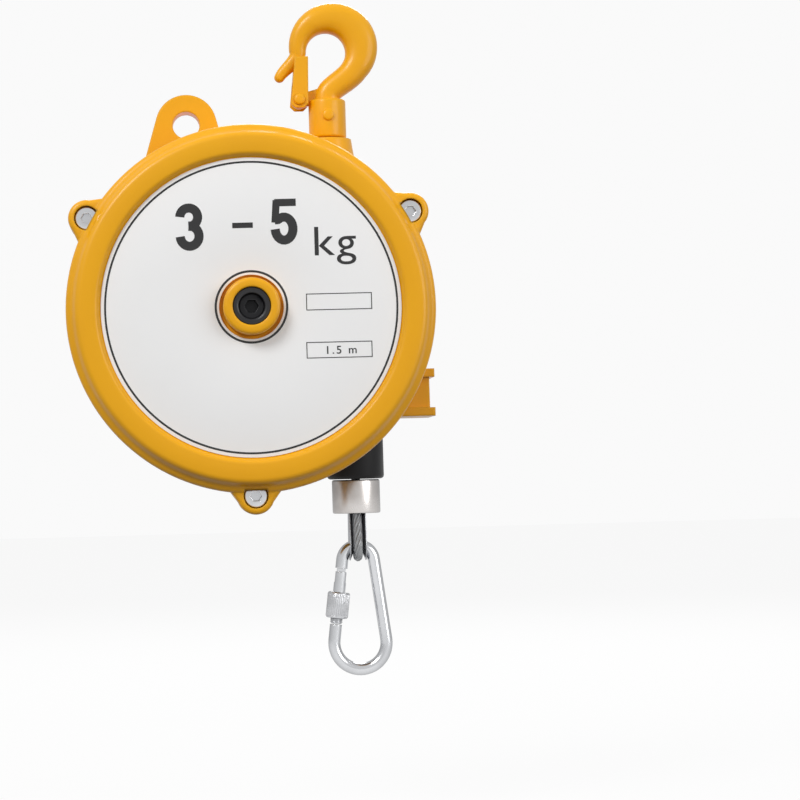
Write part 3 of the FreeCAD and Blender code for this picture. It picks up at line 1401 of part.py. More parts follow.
def carabiner_body(shape):
    wire = size.wire_radius.value
    gate_end = size.gate_start.value + size.gate_length.value + size.gate_gap.value
    full_end = size.gate_start.value - size.tongue_thickness.value * 0.75
    start = shape.along_gate(gate_end)
    left_low = shape.side(shape.bottom, shape.large, -1)
    right_low = shape.side(shape.bottom, shape.large, 1)
    right_high = shape.side(shape.top, shape.small, 1)
    left_high = shape.side(shape.top, shape.small, -1)
    stop = shape.along_gate(full_end)
    sections = [shape.section(start, -1), shape.section(left_low, -1)]
    sections += shape.bend(shape.bottom, shape.large, math.pi - shape.lean, 2 * math.pi + shape.lean)
    sections += [shape.section(right_low, 1), shape.section(right_high, 1)]
    sections += shape.bend(shape.top, shape.small, shape.lean, math.pi - shape.lean)
    sections += [shape.section(left_high, -1), shape.section(stop, -1)]
    body = faceted(sections)
    pin_place = shape.along_gate(size.gate_pin_place.value)
    tongue = tilted_box(stop - shape.down(-1), shape.down(-1),
                        size.gate_pin_place.value - full_end + 1 + wire * 0.7, wire * 1.4,
                        size.tongue_thickness.value)
    hole = Part.makeCylinder(size.gate_pin_radius.value, 4 * wire, pin_place - Vector(0, 2 * wire, 0),
                             Vector(0, 1, 0))
    return node(coded("carabiner_body_shape", body.fuse(tongue).cut(hole)), "carabiner_body")


def carabiner_gate(shape):
    wire = size.wire_radius.value
    top = shape.along_gate(size.gate_start.value)
    bottom = shape.along_gate(size.gate_start.value + size.gate_length.value)
    gate = rod(wire, top, bottom)
    slot = size.tongue_thickness.value + 2 * size.tongue_gap.value
    slot_run = size.gate_pin_place.value - size.gate_start.value + wire * 1.3
    fork = tilted_box(top - shape.down(-1), shape.down(-1), slot_run + 1, wire * 4, slot)
    pin_place = shape.along_gate(size.gate_pin_place.value)
    hole = Part.makeCylinder(size.gate_pin_radius.value + size.shaft_clearance.value, 4 * wire,
                             pin_place - Vector(0, 2 * wire, 0), Vector(0, 1, 0))
    return node(coded("carabiner_gate_shape", gate.cut(fork).cut(hole)), "carabiner_gate")


def gate_pin(shape):
    wire = size.wire_radius.value
    reach = wire * 0.95
    place = shape.along_gate(size.gate_pin_place.value)
    pin = Part.makeCylinder(size.gate_pin_radius.value, 2 * reach, place - Vector(0, reach, 0), Vector(0, 1, 0))
    return node(coded("gate_pin_shape", pin), "gate_pin")


def gate_nut(shape):
    start = shape.along_gate(size.gate_nut_start.value)
    stop = shape.along_gate(size.gate_nut_start.value + size.gate_nut_length.value)
    nut = rod(size.gate_nut_radius.value, start, stop)
    bore = rod(size.wire_radius.value + size.gate_nut_clearance.value, start - shape.down(-1),
               stop + shape.down(-1))
    return node(coded("gate_nut_shape", nut.cut(bore)), "gate_nut")


# ---------------------------------------------------------------- assembly


def check(document):
    """Stop if any object failed to compute or any sub-part is not a sound solid."""
    for thing in document.Objects:
        faults = {"Invalid", "Error"} & set(thing.State)
        if faults:
            raise RuntimeError(f"{thing.Name} ({thing.Label}): {', '.join(sorted(faults))}")
    for thing in nodes:
        if thing.Shape.isNull() or not thing.Shape.isValid() or not thing.Shape.Solids:
            raise RuntimeError(f"{thing.Label} is not a valid solid")


front_cover()
label_plate()
cover_screws()
rear_casing()
bush("front_bush", size.bush_radius, size.front_journal + size.shaft_clearance, BUSH_FRONT,
     COVER_INSIDE + size.wall)
bush("rear_bush", size.rear_bush, size.rear_journal + size.shaft_clearance, BOSS_FRONT, size.face_back)
bush("drum_bush", size.drum_bush, size.shaft_radius + size.shaft_clearance, -size.spring_floor, size.drum_back)
outlet_bush()
main_shaft()
rope_drum()
spring_cover()
spring_cover_screws()
power_spring()
rope_wound()
rope_lead()
rope_drop()
rubber_buffer()
stop_ring()
stop_ring_screw()
rope_ferrule()
rope_eye()
ratchet_wheel()
ratchet_pawl()
pawl_spring()
pawl_screw()
upper_hook()
hook_barrel()
hook_cross_pin()
swivel_washer()
swivel_nut()
hook_latch()
latch_pin()
latch_spring()
clip = Carabiner()
carabiner_body(clip)
carabiner_gate(clip)
gate_pin(clip)
gate_nut(clip)

doc.recompute()
check(doc)
os.makedirs("parts", exist_ok=True)
for sub_part in nodes:
    sub_part.Shape.exportStep(f"parts/{sub_part.Label}.step")
    print(sub_part.Label, len(sub_part.Shape.Solids), round(sub_part.Shape.Volume, 1))
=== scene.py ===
import math

import bmesh
import bpy
from mathutils import Matrix, Vector


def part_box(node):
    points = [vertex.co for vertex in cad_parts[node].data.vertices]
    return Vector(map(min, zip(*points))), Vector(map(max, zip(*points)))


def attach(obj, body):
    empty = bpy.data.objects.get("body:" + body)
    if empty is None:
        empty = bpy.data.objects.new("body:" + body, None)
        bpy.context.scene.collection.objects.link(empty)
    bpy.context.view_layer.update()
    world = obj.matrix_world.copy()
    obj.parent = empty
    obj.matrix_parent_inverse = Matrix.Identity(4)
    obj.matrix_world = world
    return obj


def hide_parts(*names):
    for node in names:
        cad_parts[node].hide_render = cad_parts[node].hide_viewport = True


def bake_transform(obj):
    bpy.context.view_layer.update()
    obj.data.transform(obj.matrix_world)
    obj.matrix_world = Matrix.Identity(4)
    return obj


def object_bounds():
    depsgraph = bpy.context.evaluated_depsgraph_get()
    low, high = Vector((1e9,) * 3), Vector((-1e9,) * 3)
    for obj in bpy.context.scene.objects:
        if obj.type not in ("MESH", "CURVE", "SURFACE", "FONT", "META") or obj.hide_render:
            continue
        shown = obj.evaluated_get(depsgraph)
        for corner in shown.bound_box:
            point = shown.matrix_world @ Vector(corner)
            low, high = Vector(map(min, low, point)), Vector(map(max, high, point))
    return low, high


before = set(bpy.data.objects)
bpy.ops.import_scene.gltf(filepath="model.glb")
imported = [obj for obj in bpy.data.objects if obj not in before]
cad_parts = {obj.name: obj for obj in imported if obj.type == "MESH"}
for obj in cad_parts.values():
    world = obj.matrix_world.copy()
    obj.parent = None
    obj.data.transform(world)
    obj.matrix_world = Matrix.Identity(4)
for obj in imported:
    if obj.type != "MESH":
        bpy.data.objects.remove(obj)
cad_low, cad_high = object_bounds()


# ---------------------------------------------------------------- the front cover
# A round pressure die casting, domed at its rim and recessed in the middle for the label, with three ears
# for the cover screws and a hub that holds the front bush. It is clamped to the back casing by the screws.

MM = 0.001
label_low, label_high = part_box("label_plate")
HOOK = Matrix.Scale(MM, 4)
DRUM = Matrix.Translation(((label_low.x + label_high.x) / 2, 0, (label_low.z + label_high.z) / 2)) @ HOOK
SMOOTH_ANGLE = math.radians(32)


def turned(outline, steps=128):
    """Spin a closed outline of (radius, along, round) corners about the Y axis."""
    mesh = bmesh.new()
    corners = [(mesh.verts.new((corner[0], corner[1], 0)), corner[2] if len(corner) > 2 else 0)
               for corner in outline]
    for index, (vert, _) in enumerate(corners):
        mesh.edges.new((vert, corners[(index + 1) % len(corners)][0]))
    for rounding in sorted({amount for _, amount in corners if amount}):
        chosen = [vert for vert, amount in corners if amount == rounding]
        bmesh.ops.bevel(mesh, geom=chosen, offset=rounding, segments=max(3, int(rounding * 1.2)),
                        affect="VERTICES", profile=0.5, material=-1)
    bmesh.ops.spin(mesh, geom=list(mesh.verts) + list(mesh.edges), cent=(0, 0, 0), axis=(0, 1, 0),
                   angle=math.tau, steps=steps, use_merge=True)
    bmesh.ops.remove_doubles(mesh, verts=list(mesh.verts), dist=1e-4)
    flat = [face for face in mesh.faces if face.calc_area() < 1e-9]
    bmesh.ops.delete(mesh, geom=flat, context="FACES")
    bmesh.ops.recalc_face_normals(mesh, faces=list(mesh.faces))
    return mesh


def to_object(name, mesh, place, material):
    """Put a mesh in its place as an object at the origin, smooth except at its sharp edges."""
    bmesh.ops.transform(mesh, matrix=place, verts=list(mesh.verts))
    data = bpy.data.meshes.new(name)
    mesh.to_mesh(data)
    mesh.free()
    piece = bpy.data.objects.new(name, data)
    bpy.context.scene.collection.objects.link(piece)
    data.materials.append(material)
    data.shade_smooth()
    data.set_sharp_from_angle(angle=SMOOTH_ANGLE)
    return piece


def settle(piece, body, slot, *nodes):
    """Let a finished piece ride on its body and stand for its CAD nodes; the slot is not used."""
    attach(piece, body)
    if nodes:
        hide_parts(*nodes)
    return piece


def carve(base, tools, operation):
    """Join tools to a base, or cut them from it, and keep the result as the base's own mesh."""
    for tool in tools:
        change = base.modifiers.new("carve", "BOOLEAN")
        change.operation = operation
        change.solver = "EXACT"
        change.object = tool
    bpy.context.view_layer.update()
    shaped = bpy.data.meshes.new_from_object(base.evaluated_get(bpy.context.evaluated_depsgraph_get()))
    base.modifiers.clear()
    old, base.data = base.data, shaped
    bpy.data.meshes.remove(old)
    for tool in tools:
        bpy.data.objects.remove(tool)
    shaped.shade_smooth()
    shaped.set_sharp_from_angle(angle=SMOOTH_ANGLE)
    return base


def plate(outline, front, back, rounding=0.0):
    """Raise a closed outline of (x, z) points into a plate between two depths, its front edge rounded."""
    mesh = bmesh.new()
    ring = [mesh.verts.new((x, back, z)) for x, z in outline]
    face = mesh.faces.new(ring)
    raised = bmesh.ops.extrude_face_region(mesh, geom=[face])["geom"]
    top = [item for item in raised if isinstance(item, bmesh.types.BMVert)]
    bmesh.ops.translate(mesh, vec=(0, front - back, 0), verts=top)
    if rounding:
        rim = [edge for edge in mesh.edges if all(abs(vert.co.y - front) < 1e-6 for vert in edge.verts)]
        bmesh.ops.bevel(mesh, geom=rim, offset=rounding, segments=3, affect="EDGES", profile=0.5, material=-1)
    bmesh.ops.recalc_face_normals(mesh, faces=list(mesh.faces))
    return mesh


RIM_RADIUS, JOINT_FACE, COVER_BACK, LABEL_SEAT = 75.0, -26.0, -38.0, -41.0
HUB_BORE, HUB_FACE, BUSH_FOOT = 7.7, -48.0, -35.0
EAR_CIRCLE, EAR_HEAD, EAR_FOOT, EAR_ROOT, EAR_FLANK = 76.0, 7.5, 12.0, -71.8, math.radians(20)
SCREW_SEAT = -31.6
ear_turns = [Matrix.Rotation(math.tau * number / 3, 4, "Y") for number in range(3)]
ear_centre = Matrix.Translation((0, 0, -EAR_CIRCLE))


def ear_outline():
    """A screw ear that points down: straight flanks that meet a round head."""
    points = [(-EAR_FOOT, EAR_ROOT)]
    for step in range(25):
        angle = math.pi + EAR_FLANK + (math.pi - 2 * EAR_FLANK) * step / 24
        points.append((EAR_HEAD * math.cos(angle), -EAR_CIRCLE + EAR_HEAD * math.sin(angle)))
    return points + [(EAR_FOOT, EAR_ROOT)]


# The castings and the forged hook are sprayed with a thick gloss enamel. Its edges are painted paler, a painted
# highlight along them, and it has a faint orange peel and dusty patches.

def new_group(name, inputs, outputs):
    """A shader node group with its sockets, and the nodes that carry them."""
    group = bpy.data.node_groups.new(name, "ShaderNodeTree")
    for label, kind, value in inputs:
        socket = group.interface.new_socket(label, in_out="INPUT", socket_type=kind)
        socket.default_value = value
    for label, kind in outputs:
        group.interface.new_socket(label, in_out="OUTPUT", socket_type=kind)
    entry = group.nodes.new("NodeGroupInput")
    leave = group.nodes.new("NodeGroupOutput")
    return group, entry, leave


def add(tree, kind, links=None, **values):
    """A node in a tree with its settings, and its inputs linked or set by name."""
    made = tree.nodes.new(kind)
    for key, value in values.items():
        setattr(made, key, value)
    for key, value in (links or {}).items():
        if isinstance(value, bpy.types.NodeSocket):
            tree.links.new(value, made.inputs[key])
        else:
            made.inputs[key].default_value = value
    return made


def make_edge_group():
    """How near a point is to an outside edge, and a normal that rounds such edges over."""
    group, entry, leave = new_group(
        "soft edges",
        [("Radius", "NodeSocketFloat", 0.001)],
        [("Edge", "NodeSocketFloat"), ("Normal", "NodeSocketVector")])
    rounding = add(group, "ShaderNodeBevel", {"Radius": entry.outputs["Radius"]}, samples=6)
    surface = add(group, "ShaderNodeNewGeometry")
    facing = add(group, "ShaderNodeVectorMath", {0: rounding.outputs["Normal"], 1: surface.outputs["Normal"]},
                 operation="DOT_PRODUCT")
    edge = add(group, "ShaderNodeMapRange", {"Value": facing.outputs["Value"], "From Min": 1.0, "From Max": 0.8,
                                             "To Min": 0.0, "To Max": 1.0})
    group.links.new(edge.outputs["Result"], leave.inputs["Edge"])
    group.links.new(rounding.outputs["Normal"], leave.inputs["Normal"])
    return group


def make_surface_group():
    """Colour and gloss that drift over a surface, with fine relief: used by every finish."""
    group, entry, leave = new_group(
        "worked surface",
        [("Colour", "NodeSocketColor", (0.5, 0.5, 0.5, 1)), ("Dust", "NodeSocketColor", (0.5, 0.5, 0.5, 1)),
         ("Dust Amount", "NodeSocketFloat", 0.1), ("Roughness", "NodeSocketFloat", 0.4),
         ("Roughness Drift", "NodeSocketFloat", 0.1), ("Grain Size", "NodeSocketFloat", 900.0),
         ("Cloud Size", "NodeSocketFloat", 45.0)],
        [("Colour", "NodeSocketColor"), ("Roughness", "NodeSocketFloat"), ("Height", "NodeSocketFloat")])
    place = add(group, "ShaderNodeTexCoord")
    cloud = add(group, "ShaderNodeTexNoise", {"Vector": place.outputs["Object"],
                                              "Scale": entry.outputs["Cloud Size"], "Detail": 5.0,
                                              "Roughness": 0.6})
    grain = add(group, "ShaderNodeTexNoise", {"Vector": place.outputs["Object"],
                                              "Scale": entry.outputs["Grain Size"], "Detail": 3.0})
    patch = add(group, "ShaderNodeMapRange", {"Value": cloud.outputs["Fac"], "From Min": 0.42,
                                              "From Max": 0.72})
    dusty = add(group, "ShaderNodeMath", {0: patch.outputs["Result"], 1: entry.outputs["Dust Amount"]},
                operation="MULTIPLY")
    tone = add(group, "ShaderNodeMix", {"Factor": dusty.outputs[0], "A": entry.outputs["Colour"],
                                        "B": entry.outputs["Dust"]}, data_type="RGBA")
    drift = add(group, "ShaderNodeMapRange", {"Value": cloud.outputs["Fac"], "From Min": 0.3, "From Max": 0.7,
                                              "To Min": -1.0, "To Max": 1.0})
    gloss = add(group, "ShaderNodeMath", {0: drift.outputs["Result"], 1: entry.outputs["Roughness Drift"],
                                          2: entry.outputs["Roughness"]}, operation="MULTIPLY_ADD")
    group.links.new(tone.outputs["Result"], leave.inputs["Colour"])
    group.links.new(gloss.outputs[0], leave.inputs["Roughness"])
    group.links.new(grain.outputs["Fac"], leave.inputs["Height"])
    return group


SOFT_EDGES = make_edge_group()
WORKED_SURFACE = make_surface_group()


def finish_of(name, colour, dust, roughness, metallic=0.0, dust_amount=0.15, drift=0.06, grain=900.0,
              cloud=45.0, relief=0.00002, edge_radius=0.0008, painted_edge_highlight_colour=None, painted_edge_highlight_amount=0.5, coat=0.0,
              coat_roughness=0.1, specular=0.5, painted_dark_reflection=0.0):
    """A finish: a Principled shader fed by the shared surface and edge groups."""
    material = bpy.data.materials.new(name)
    material.use_nodes = True
    tree = material.node_tree
    shader = tree.nodes["Principled BSDF"]
    surface = add(tree, "ShaderNodeGroup", node_tree=WORKED_SURFACE)
    for key, value in (("Colour", (*colour, 1)), ("Dust", (*dust, 1)), ("Dust Amount", dust_amount),
                       ("Roughness", roughness), ("Roughness Drift", drift), ("Grain Size", grain),
                       ("Cloud Size", cloud)):
        surface.inputs[key].default_value = value
    edges = add(tree, "ShaderNodeGroup", node_tree=SOFT_EDGES)
    edges.inputs["Radius"].default_value = edge_radius
    relief_node = add(tree, "ShaderNodeBump", {"Height": surface.outputs["Height"], "Strength": 0.6,
                                               "Distance": relief, "Normal": edges.outputs["Normal"]})
    # Painted highlight: near an outside edge the colour is mixed toward a paler edge colour, standing in for
    # the light that the rounded edges catch.
    painted_edge_highlight_share = add(tree, "ShaderNodeMath", {0: edges.outputs["Edge"], 1: painted_edge_highlight_amount}, operation="MULTIPLY")
    tone = add(tree, "ShaderNodeMix", {"Factor": painted_edge_highlight_share.outputs[0], "A": surface.outputs["Colour"],
                                       "B": (*(painted_edge_highlight_colour or colour), 1)}, data_type="RGBA")
    last_tone = tone.outputs["Result"]
    # Painted dark reflection: at grazing view the colour is mixed toward near black, standing in for the dark
    # reflections along a bright metal's outline.
    if painted_dark_reflection:
        grazing = add(tree, "ShaderNodeLayerWeight", {"Blend": 0.35})
        painted_reflection_share = add(tree, "ShaderNodeMath", {0: grazing.outputs["Facing"], 1: painted_dark_reflection},
                        operation="MULTIPLY", use_clamp=True)
        rim = add(tree, "ShaderNodeMix", {"Factor": painted_reflection_share.outputs[0], "A": last_tone,
                                          "B": (0.04, 0.042, 0.05, 1)}, data_type="RGBA")
        last_tone = rim.outputs["Result"]
    tree.links.new(last_tone, shader.inputs["Base Color"])
    tree.links.new(surface.outputs["Roughness"], shader.inputs["Roughness"])
    tree.links.new(relief_node.outputs["Normal"], shader.inputs["Normal"])
    shader.inputs["Metallic"].default_value = metallic
    shader.inputs["Specular IOR Level"].default_value = specular
    shader.inputs["Coat Weight"].default_value = coat
    shader.inputs["Coat Roughness"].default_value = coat_roughness
    return material


# The enamel's paler edge colour is a painted highlight along its edges.
enamel = finish_of("yellow enamel", (0.86, 0.405, 0.0005), (0.78, 0.345, 0.0005), 0.36, dust_amount=0.35,
                   painted_edge_highlight_colour=(0.86, 0.50, 0.03), painted_edge_highlight_amount=0.35, edge_radius=0.0012, coat=0.15,
                   coat_roughness=0.14, relief=0.00003, grain=520.0, cloud=28.0, specular=0.3)

cover = to_object("front_cover_casting", turned([
    (RIM_RADIUS, JOINT_FACE), (71.4, JOINT_FACE), (71.4, -33.0), (66.5, -40.6, 2.0), (61.3, COVER_BACK),
    (14.0, COVER_BACK), (12.0, BUSH_FOOT), (HUB_BORE, BUSH_FOOT), (HUB_BORE, HUB_FACE, 0.4),
    (11.5, HUB_FACE, 1.4), (11.5, -39.0), (12.9, -39.0), (12.9, LABEL_SEAT), (60.9, LABEL_SEAT, 0.4),
    (62.3, -43.9, 0.9), (70.6, -44.0, 1.6), (72.4, -39.6, 1.0), (RIM_RADIUS, -38.6, 1.4)],
    steps=192), DRUM, enamel)
for turn in ear_turns:
    ear = to_object("ear", plate(ear_outline(), COVER_BACK, JOINT_FACE, rounding=1.6), DRUM @ turn, enamel)
    carve(cover, [ear], "UNION")
for turn in ear_turns:
    recess = to_object("recess", turned([
        (0, -39), (5.6, -39), (5.0, COVER_BACK), (5.0, SCREW_SEAT), (2.55, SCREW_SEAT), (2.55, -25), (0, -25)],
        steps=48), DRUM @ (turn @ ear_centre), enamel)
    carve(cover, [recess], "DIFFERENCE")
settle(cover, "casing", "yellow_casting", "front_cover")


# ---------------------------------------------------------------- the label
# A thin white printed plate glued in the recess of the cover. Its print is dark grey: a ring near its edge,
# a ring round the hub, the load range, and two framed boxes.

label_white = finish_of("white label film", (0.90, 0.90, 0.90), (0.80, 0.80, 0.79), 0.38, dust_amount=0.12,
                        relief=0.000004, edge_radius=0.0003, coat=0.25, coat_roughness=0.2)
ink = finish_of("dark grey ink", (0.016, 0.016, 0.017), (0.03, 0.03, 0.03), 0.42, dust_amount=0.3,
                relief=0.000003, edge_radius=0.0001)
LABEL_RADIUS, LABEL_HOLE, LABEL_FACE = 60.7, 13.0, -41.5
PRINT_FACE, PRINT_FOOT = LABEL_FACE - 0.06, LABEL_FACE + 0.02
LAID_ON = Matrix.Rotation(math.pi / 2, 4, "X")

disc = turned([(LABEL_RADIUS, LABEL_SEAT), (LABEL_HOLE, LABEL_SEAT), (LABEL_HOLE, LABEL_FACE, 0.12),
               (LABEL_RADIUS, LABEL_FACE, 0.12)], steps=160)
settle(to_object("label_disc", disc, DRUM, label_white), "casing", "label_film", "label_plate")


def printed(name, mesh):
    """A mark of the print, laid on the label."""
    return settle(to_object(name, mesh, DRUM, ink), "casing", "label_film")


def print_ring(name, radius, width):
    inner, outer = radius - width / 2, radius + width / 2
    return printed(name, turned([(outer, PRINT_FOOT), (inner, PRINT_FOOT), (inner, PRINT_FACE),
                                 (outer, PRINT_FACE)], steps=160))


def print_frame(name, centre_x, centre_z, width, height, line):
    """A rectangular line frame: a plate with its middle let through."""
    mesh = bmesh.new()
    made = bmesh.ops.create_grid(mesh, x_segments=1, y_segments=1, size=0.5)["verts"]
    bmesh.ops.scale(mesh, vec=(width, height, 1), verts=made)
    inner = bmesh.ops.inset_region(mesh, faces=list(mesh.faces), thickness=line, use_boundary=True,
                                   use_even_offset=True)
    middle = [face for face in mesh.faces if face not in inner["faces"]]
    bmesh.ops.delete(mesh, geom=middle, context="FACES")
    raised = bmesh.ops.extrude_face_region(mesh, geom=list(mesh.faces))["geom"]
    top = [item for item in raised if isinstance(item, bmesh.types.BMVert)]
    bmesh.ops.translate(mesh, vec=(0, 0, 0.08), verts=top)
    bmesh.ops.recalc_face_normals(mesh, faces=list(mesh.faces))
    place = Matrix.Translation((centre_x, PRINT_FOOT, centre_z)) @ LAID_ON
    bmesh.ops.transform(mesh, matrix=place, verts=list(mesh.verts))
    return printed(name, mesh)


CAPITAL_HEIGHT = 0.73


def print_text(name, words, centre_x, base_z, height, width_scale, bold, spacing):
    """Plain figures set in the print, converted to a mesh and laid on the label."""
    text = bpy.data.curves.new(name, "FONT")
    text.body = words
    text.align_x = "CENTER"
    text.size = height / CAPITAL_HEIGHT
    text.offset = bold
    text.space_character = spacing
    text.extrude = 0.04
    text.resolution_u = 6
    holder = bpy.data.objects.new(name + "_text", text)
    bpy.context.scene.collection.objects.link(holder)
    bpy.context.view_layer.update()
    data = bpy.data.meshes.new_from_object(holder.evaluated_get(bpy.context.evaluated_depsgraph_get()))
    bpy.data.objects.remove(holder)
    mesh = bmesh.new()
    mesh.from_mesh(data)
    bpy.data.meshes.remove(data)
    bmesh.ops.remove_doubles(mesh, verts=list(mesh.verts), dist=1e-5)
    place = (Matrix.Translation((centre_x, LABEL_FACE - 0.02, base_z)) @ LAID_ON
             @ Matrix.Diagonal((width_scale, 1, 1, 1)))
    bmesh.ops.transform(mesh, matrix=place, verts=list(mesh.verts))
    bmesh.ops.recalc_face_normals(mesh, faces=list(mesh.faces))
    return printed(name, mesh)


def print_stroke(name, line, width, lift):
    """One pen stroke of a figure: a ribbon along a line, cut square at its ends."""
    mesh = bmesh.new()
    sides = ([], [])
    for index, (x, z) in enumerate(line):
        ahead, behind = line[min(index + 1, len(line) - 1)], line[max(index - 1, 0)]
        run = Vector((ahead[0] - behind[0], 0, ahead[1] - behind[1])).normalized() * (width / 2)
        for side, hand in zip(sides, (1, -1)):
            side.append(mesh.verts.new((x - hand * run.z, PRINT_FACE - lift, z + hand * run.x)))
    front = [mesh.faces.new((sides[0][k], sides[0][k + 1], sides[1][k + 1], sides[1][k]))
             for k in range(len(line) - 1)]
    back = bmesh.ops.extrude_face_region(mesh, geom=front, use_keep_orig=True)["geom"]
    bmesh.ops.translate(mesh, vec=(0, 0.08 + lift, 0),
                        verts=[item for item in back if isinstance(item, bmesh.types.BMVert)])
    bmesh.ops.recalc_face_normals(mesh, faces=list(mesh.faces))
    return printed(name, mesh)


def bow(centre_x, centre_z, wide, high, first, last):
    """Points on an oval between two angles in degrees."""
    angles = [math.radians(first + (last - first) * k / 20) for k in range(21)]
    return [(centre_x + wide * math.cos(angle), centre_z + high * math.sin(angle)) for angle in angles]


print_ring("label_outer_ring", 58.9, 0.8)
print_ring("label_hub_ring", 14.4, 0.9)
print_stroke("label_three_upper", bow(-24.4, 36.9, 3.6, 3.75, 178, -70) + [(-24.6, 33.3)], 3.7, 0.0)
print_stroke("label_three_lower", [(-24.6, 33.2)] + bow(-24.2, 29.2, 3.8, 4.1, 74, -178), 3.7, 0.01)
print_stroke("label_five_bar", [(10.3, 42.0), (19.0, 42.0)], 3.0, 0.0)
print_stroke("label_five_stem", [(11.1, 43.0), (10.4, 33.9)], 2.9, 0.01)
print_stroke("label_five_bowl", [(10.3, 35.0)] + bow(14.0, 31.4, 3.6, 4.7, 128, -178), 3.7, 0.02)
printed("label_dash", plate([(-6.9, 32.0), (1.4, 32.0), (1.4, 34.2), (-6.9, 34.2)], PRINT_FACE, PRINT_FOOT))
print_text("label_unit", "kg", 34.0, 20.2, 12.4, width_scale=1.1, bold=0.0, spacing=1.12)
print_frame("label_upper_frame", 35.4, 1.4, 26.6, 6.8, 0.35)
print_frame("label_lower_frame", 35.0, -18.1, 26.6, 6.6, 0.35)
print_text("label_travel", "1.5 m", 35.6, -19.7, 3.3, width_scale=1.05, bold=0.04, spacing=1.25)


# ---------------------------------------------------------------- hub, bushes and cover screws
# A black plastic bush is pressed in the hub and the blackened shaft end stands back inside it. Three bright
# zinc plated socket screws clamp the two castings from the front.

# The paler edge colours of the plastic, the blackened steel and the zinc are painted highlights along their
# edges.
black_polymer = finish_of("black plastic", (0.010, 0.010, 0.012), (0.03, 0.03, 0.03), 0.36, dust_amount=0.3,
                          relief=0.00001, painted_edge_highlight_colour=(0.05, 0.05, 0.05), painted_edge_highlight_amount=0.5)
dark_steel = finish_of("blackened steel", (0.014, 0.014, 0.016), (0.035, 0.034, 0.033), 0.40, metallic=0.55,
                       dust_amount=0.5, drift=0.1, painted_edge_highlight_colour=(0.12, 0.12, 0.12), painted_edge_highlight_amount=0.5,
                       edge_radius=0.0006, relief=0.00002)
# The zinc's dark rim is a painted dark reflection at grazing view.
zinc = finish_of("bright zinc", (0.74, 0.75, 0.77), (0.42, 0.43, 0.45), 0.20, metallic=1.0, dust_amount=0.45,
                 drift=0.08, relief=0.000012, painted_edge_highlight_colour=(0.90, 0.90, 0.92), edge_radius=0.0005, painted_dark_reflection=0.85)
bronze = finish_of("oiled bronze", (0.32, 0.21, 0.09), (0.16, 0.10, 0.05), 0.42, metallic=0.9)

SHAFT_BORE, BUSH_FACE = 5.1, -47.2
front_bush = turned([(HUB_BORE, BUSH_FOOT), (SHAFT_BORE, BUSH_FOOT), (SHAFT_BORE, BUSH_FACE, 1.0),
                     (HUB_BORE, BUSH_FACE, 0.5)], steps=96)
settle(to_object("front_bush_ring", front_bush, DRUM, black_polymer), "casing", "black_polymer", "front_bush")


def merged_copy(node):
    """A CAD node's mesh with its loose triangles joined and its flat faces made whole."""
    mesh = bmesh.new()
    mesh.from_mesh(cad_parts[node].data)
    bmesh.ops.remove_doubles(mesh, verts=list(mesh.verts), dist=1e-6)
    bmesh.ops.dissolve_limit(mesh, angle_limit=math.radians(0.5), verts=list(mesh.verts),
                             edges=list(mesh.edges))
    return mesh


def break_edges(piece, width, sharper_than):
    """Break the edges of a piece that turn by more than an angle in degrees."""
    edge = piece.modifiers.new("broken edges", "BEVEL")
    edge.width = width * MM
    edge.segments = 2
    edge.limit_method = "ANGLE"
    edge.angle_limit = math.radians(sharper_than)


def dressed(node, name, body, slot, material, bevel):
    """A smooth-shaded copy of a CAD node with its edges broken."""
    piece = to_object(name, merged_copy(node), Matrix.Identity(4), material)
    if bevel:
        break_edges(piece, bevel, 40)
    return settle(piece, body, slot, node)


def paint(node, material):
    """A CAD node whose shape is right keeps its mesh and gets the finish."""
    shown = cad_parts[node]
    shown.data.materials.clear()
    shown.data.materials.append(material)


SCREW_HEAD, SCREW_SHANK, SCREW_FACE, SCREW_POINT = 4.7, 2.3, -36.8, -21.6
SOCKET_MOUTH, SOCKET_FLOOR = -37.6, -34.2
hexagon = [(2.3 * math.cos(math.tau * k / 6), 2.3 * math.sin(math.tau * k / 6)) for k in range(6)]
for number, turn in enumerate(ear_turns):
    spot = DRUM @ (turn @ ear_centre)
    screw = turned([(0, SCREW_FACE), (SCREW_HEAD, SCREW_FACE, 0.5), (SCREW_HEAD, SCREW_SEAT),
                    (SCREW_SHANK, SCREW_SEAT), (SCREW_SHANK, SCREW_POINT, 0.4), (0, SCREW_POINT)], steps=40)
    head = to_object(f"cover_screw_{number + 1}", screw, spot, zinc)
    socket = to_object("socket", plate(hexagon, SOCKET_MOUTH, SOCKET_FLOOR), spot, zinc)
    carve(head, [socket], "DIFFERENCE")
    settle(head, "casing", "zinc_steel", *(["cover_screws"] if number == 0 else []))

dressed("main_shaft", "main_shaft_turned", "spindle", "dark_steel", dark_steel, bevel=0.3)
paint("rear_bush", bronze)
paint("drum_bush", bronze)


# ---------------------------------------------------------------- the back casing
# The other half of the housing: one die casting with the swivel boss, the safety lug, the rope arm and two
# windows on the drum. It carries a bare raised bar, a cast minus and a winding arrow on its flat face.

dressed("rear_casing", "rear_casing_casting", "casing", "yellow_casting", enamel, bevel=0.7)


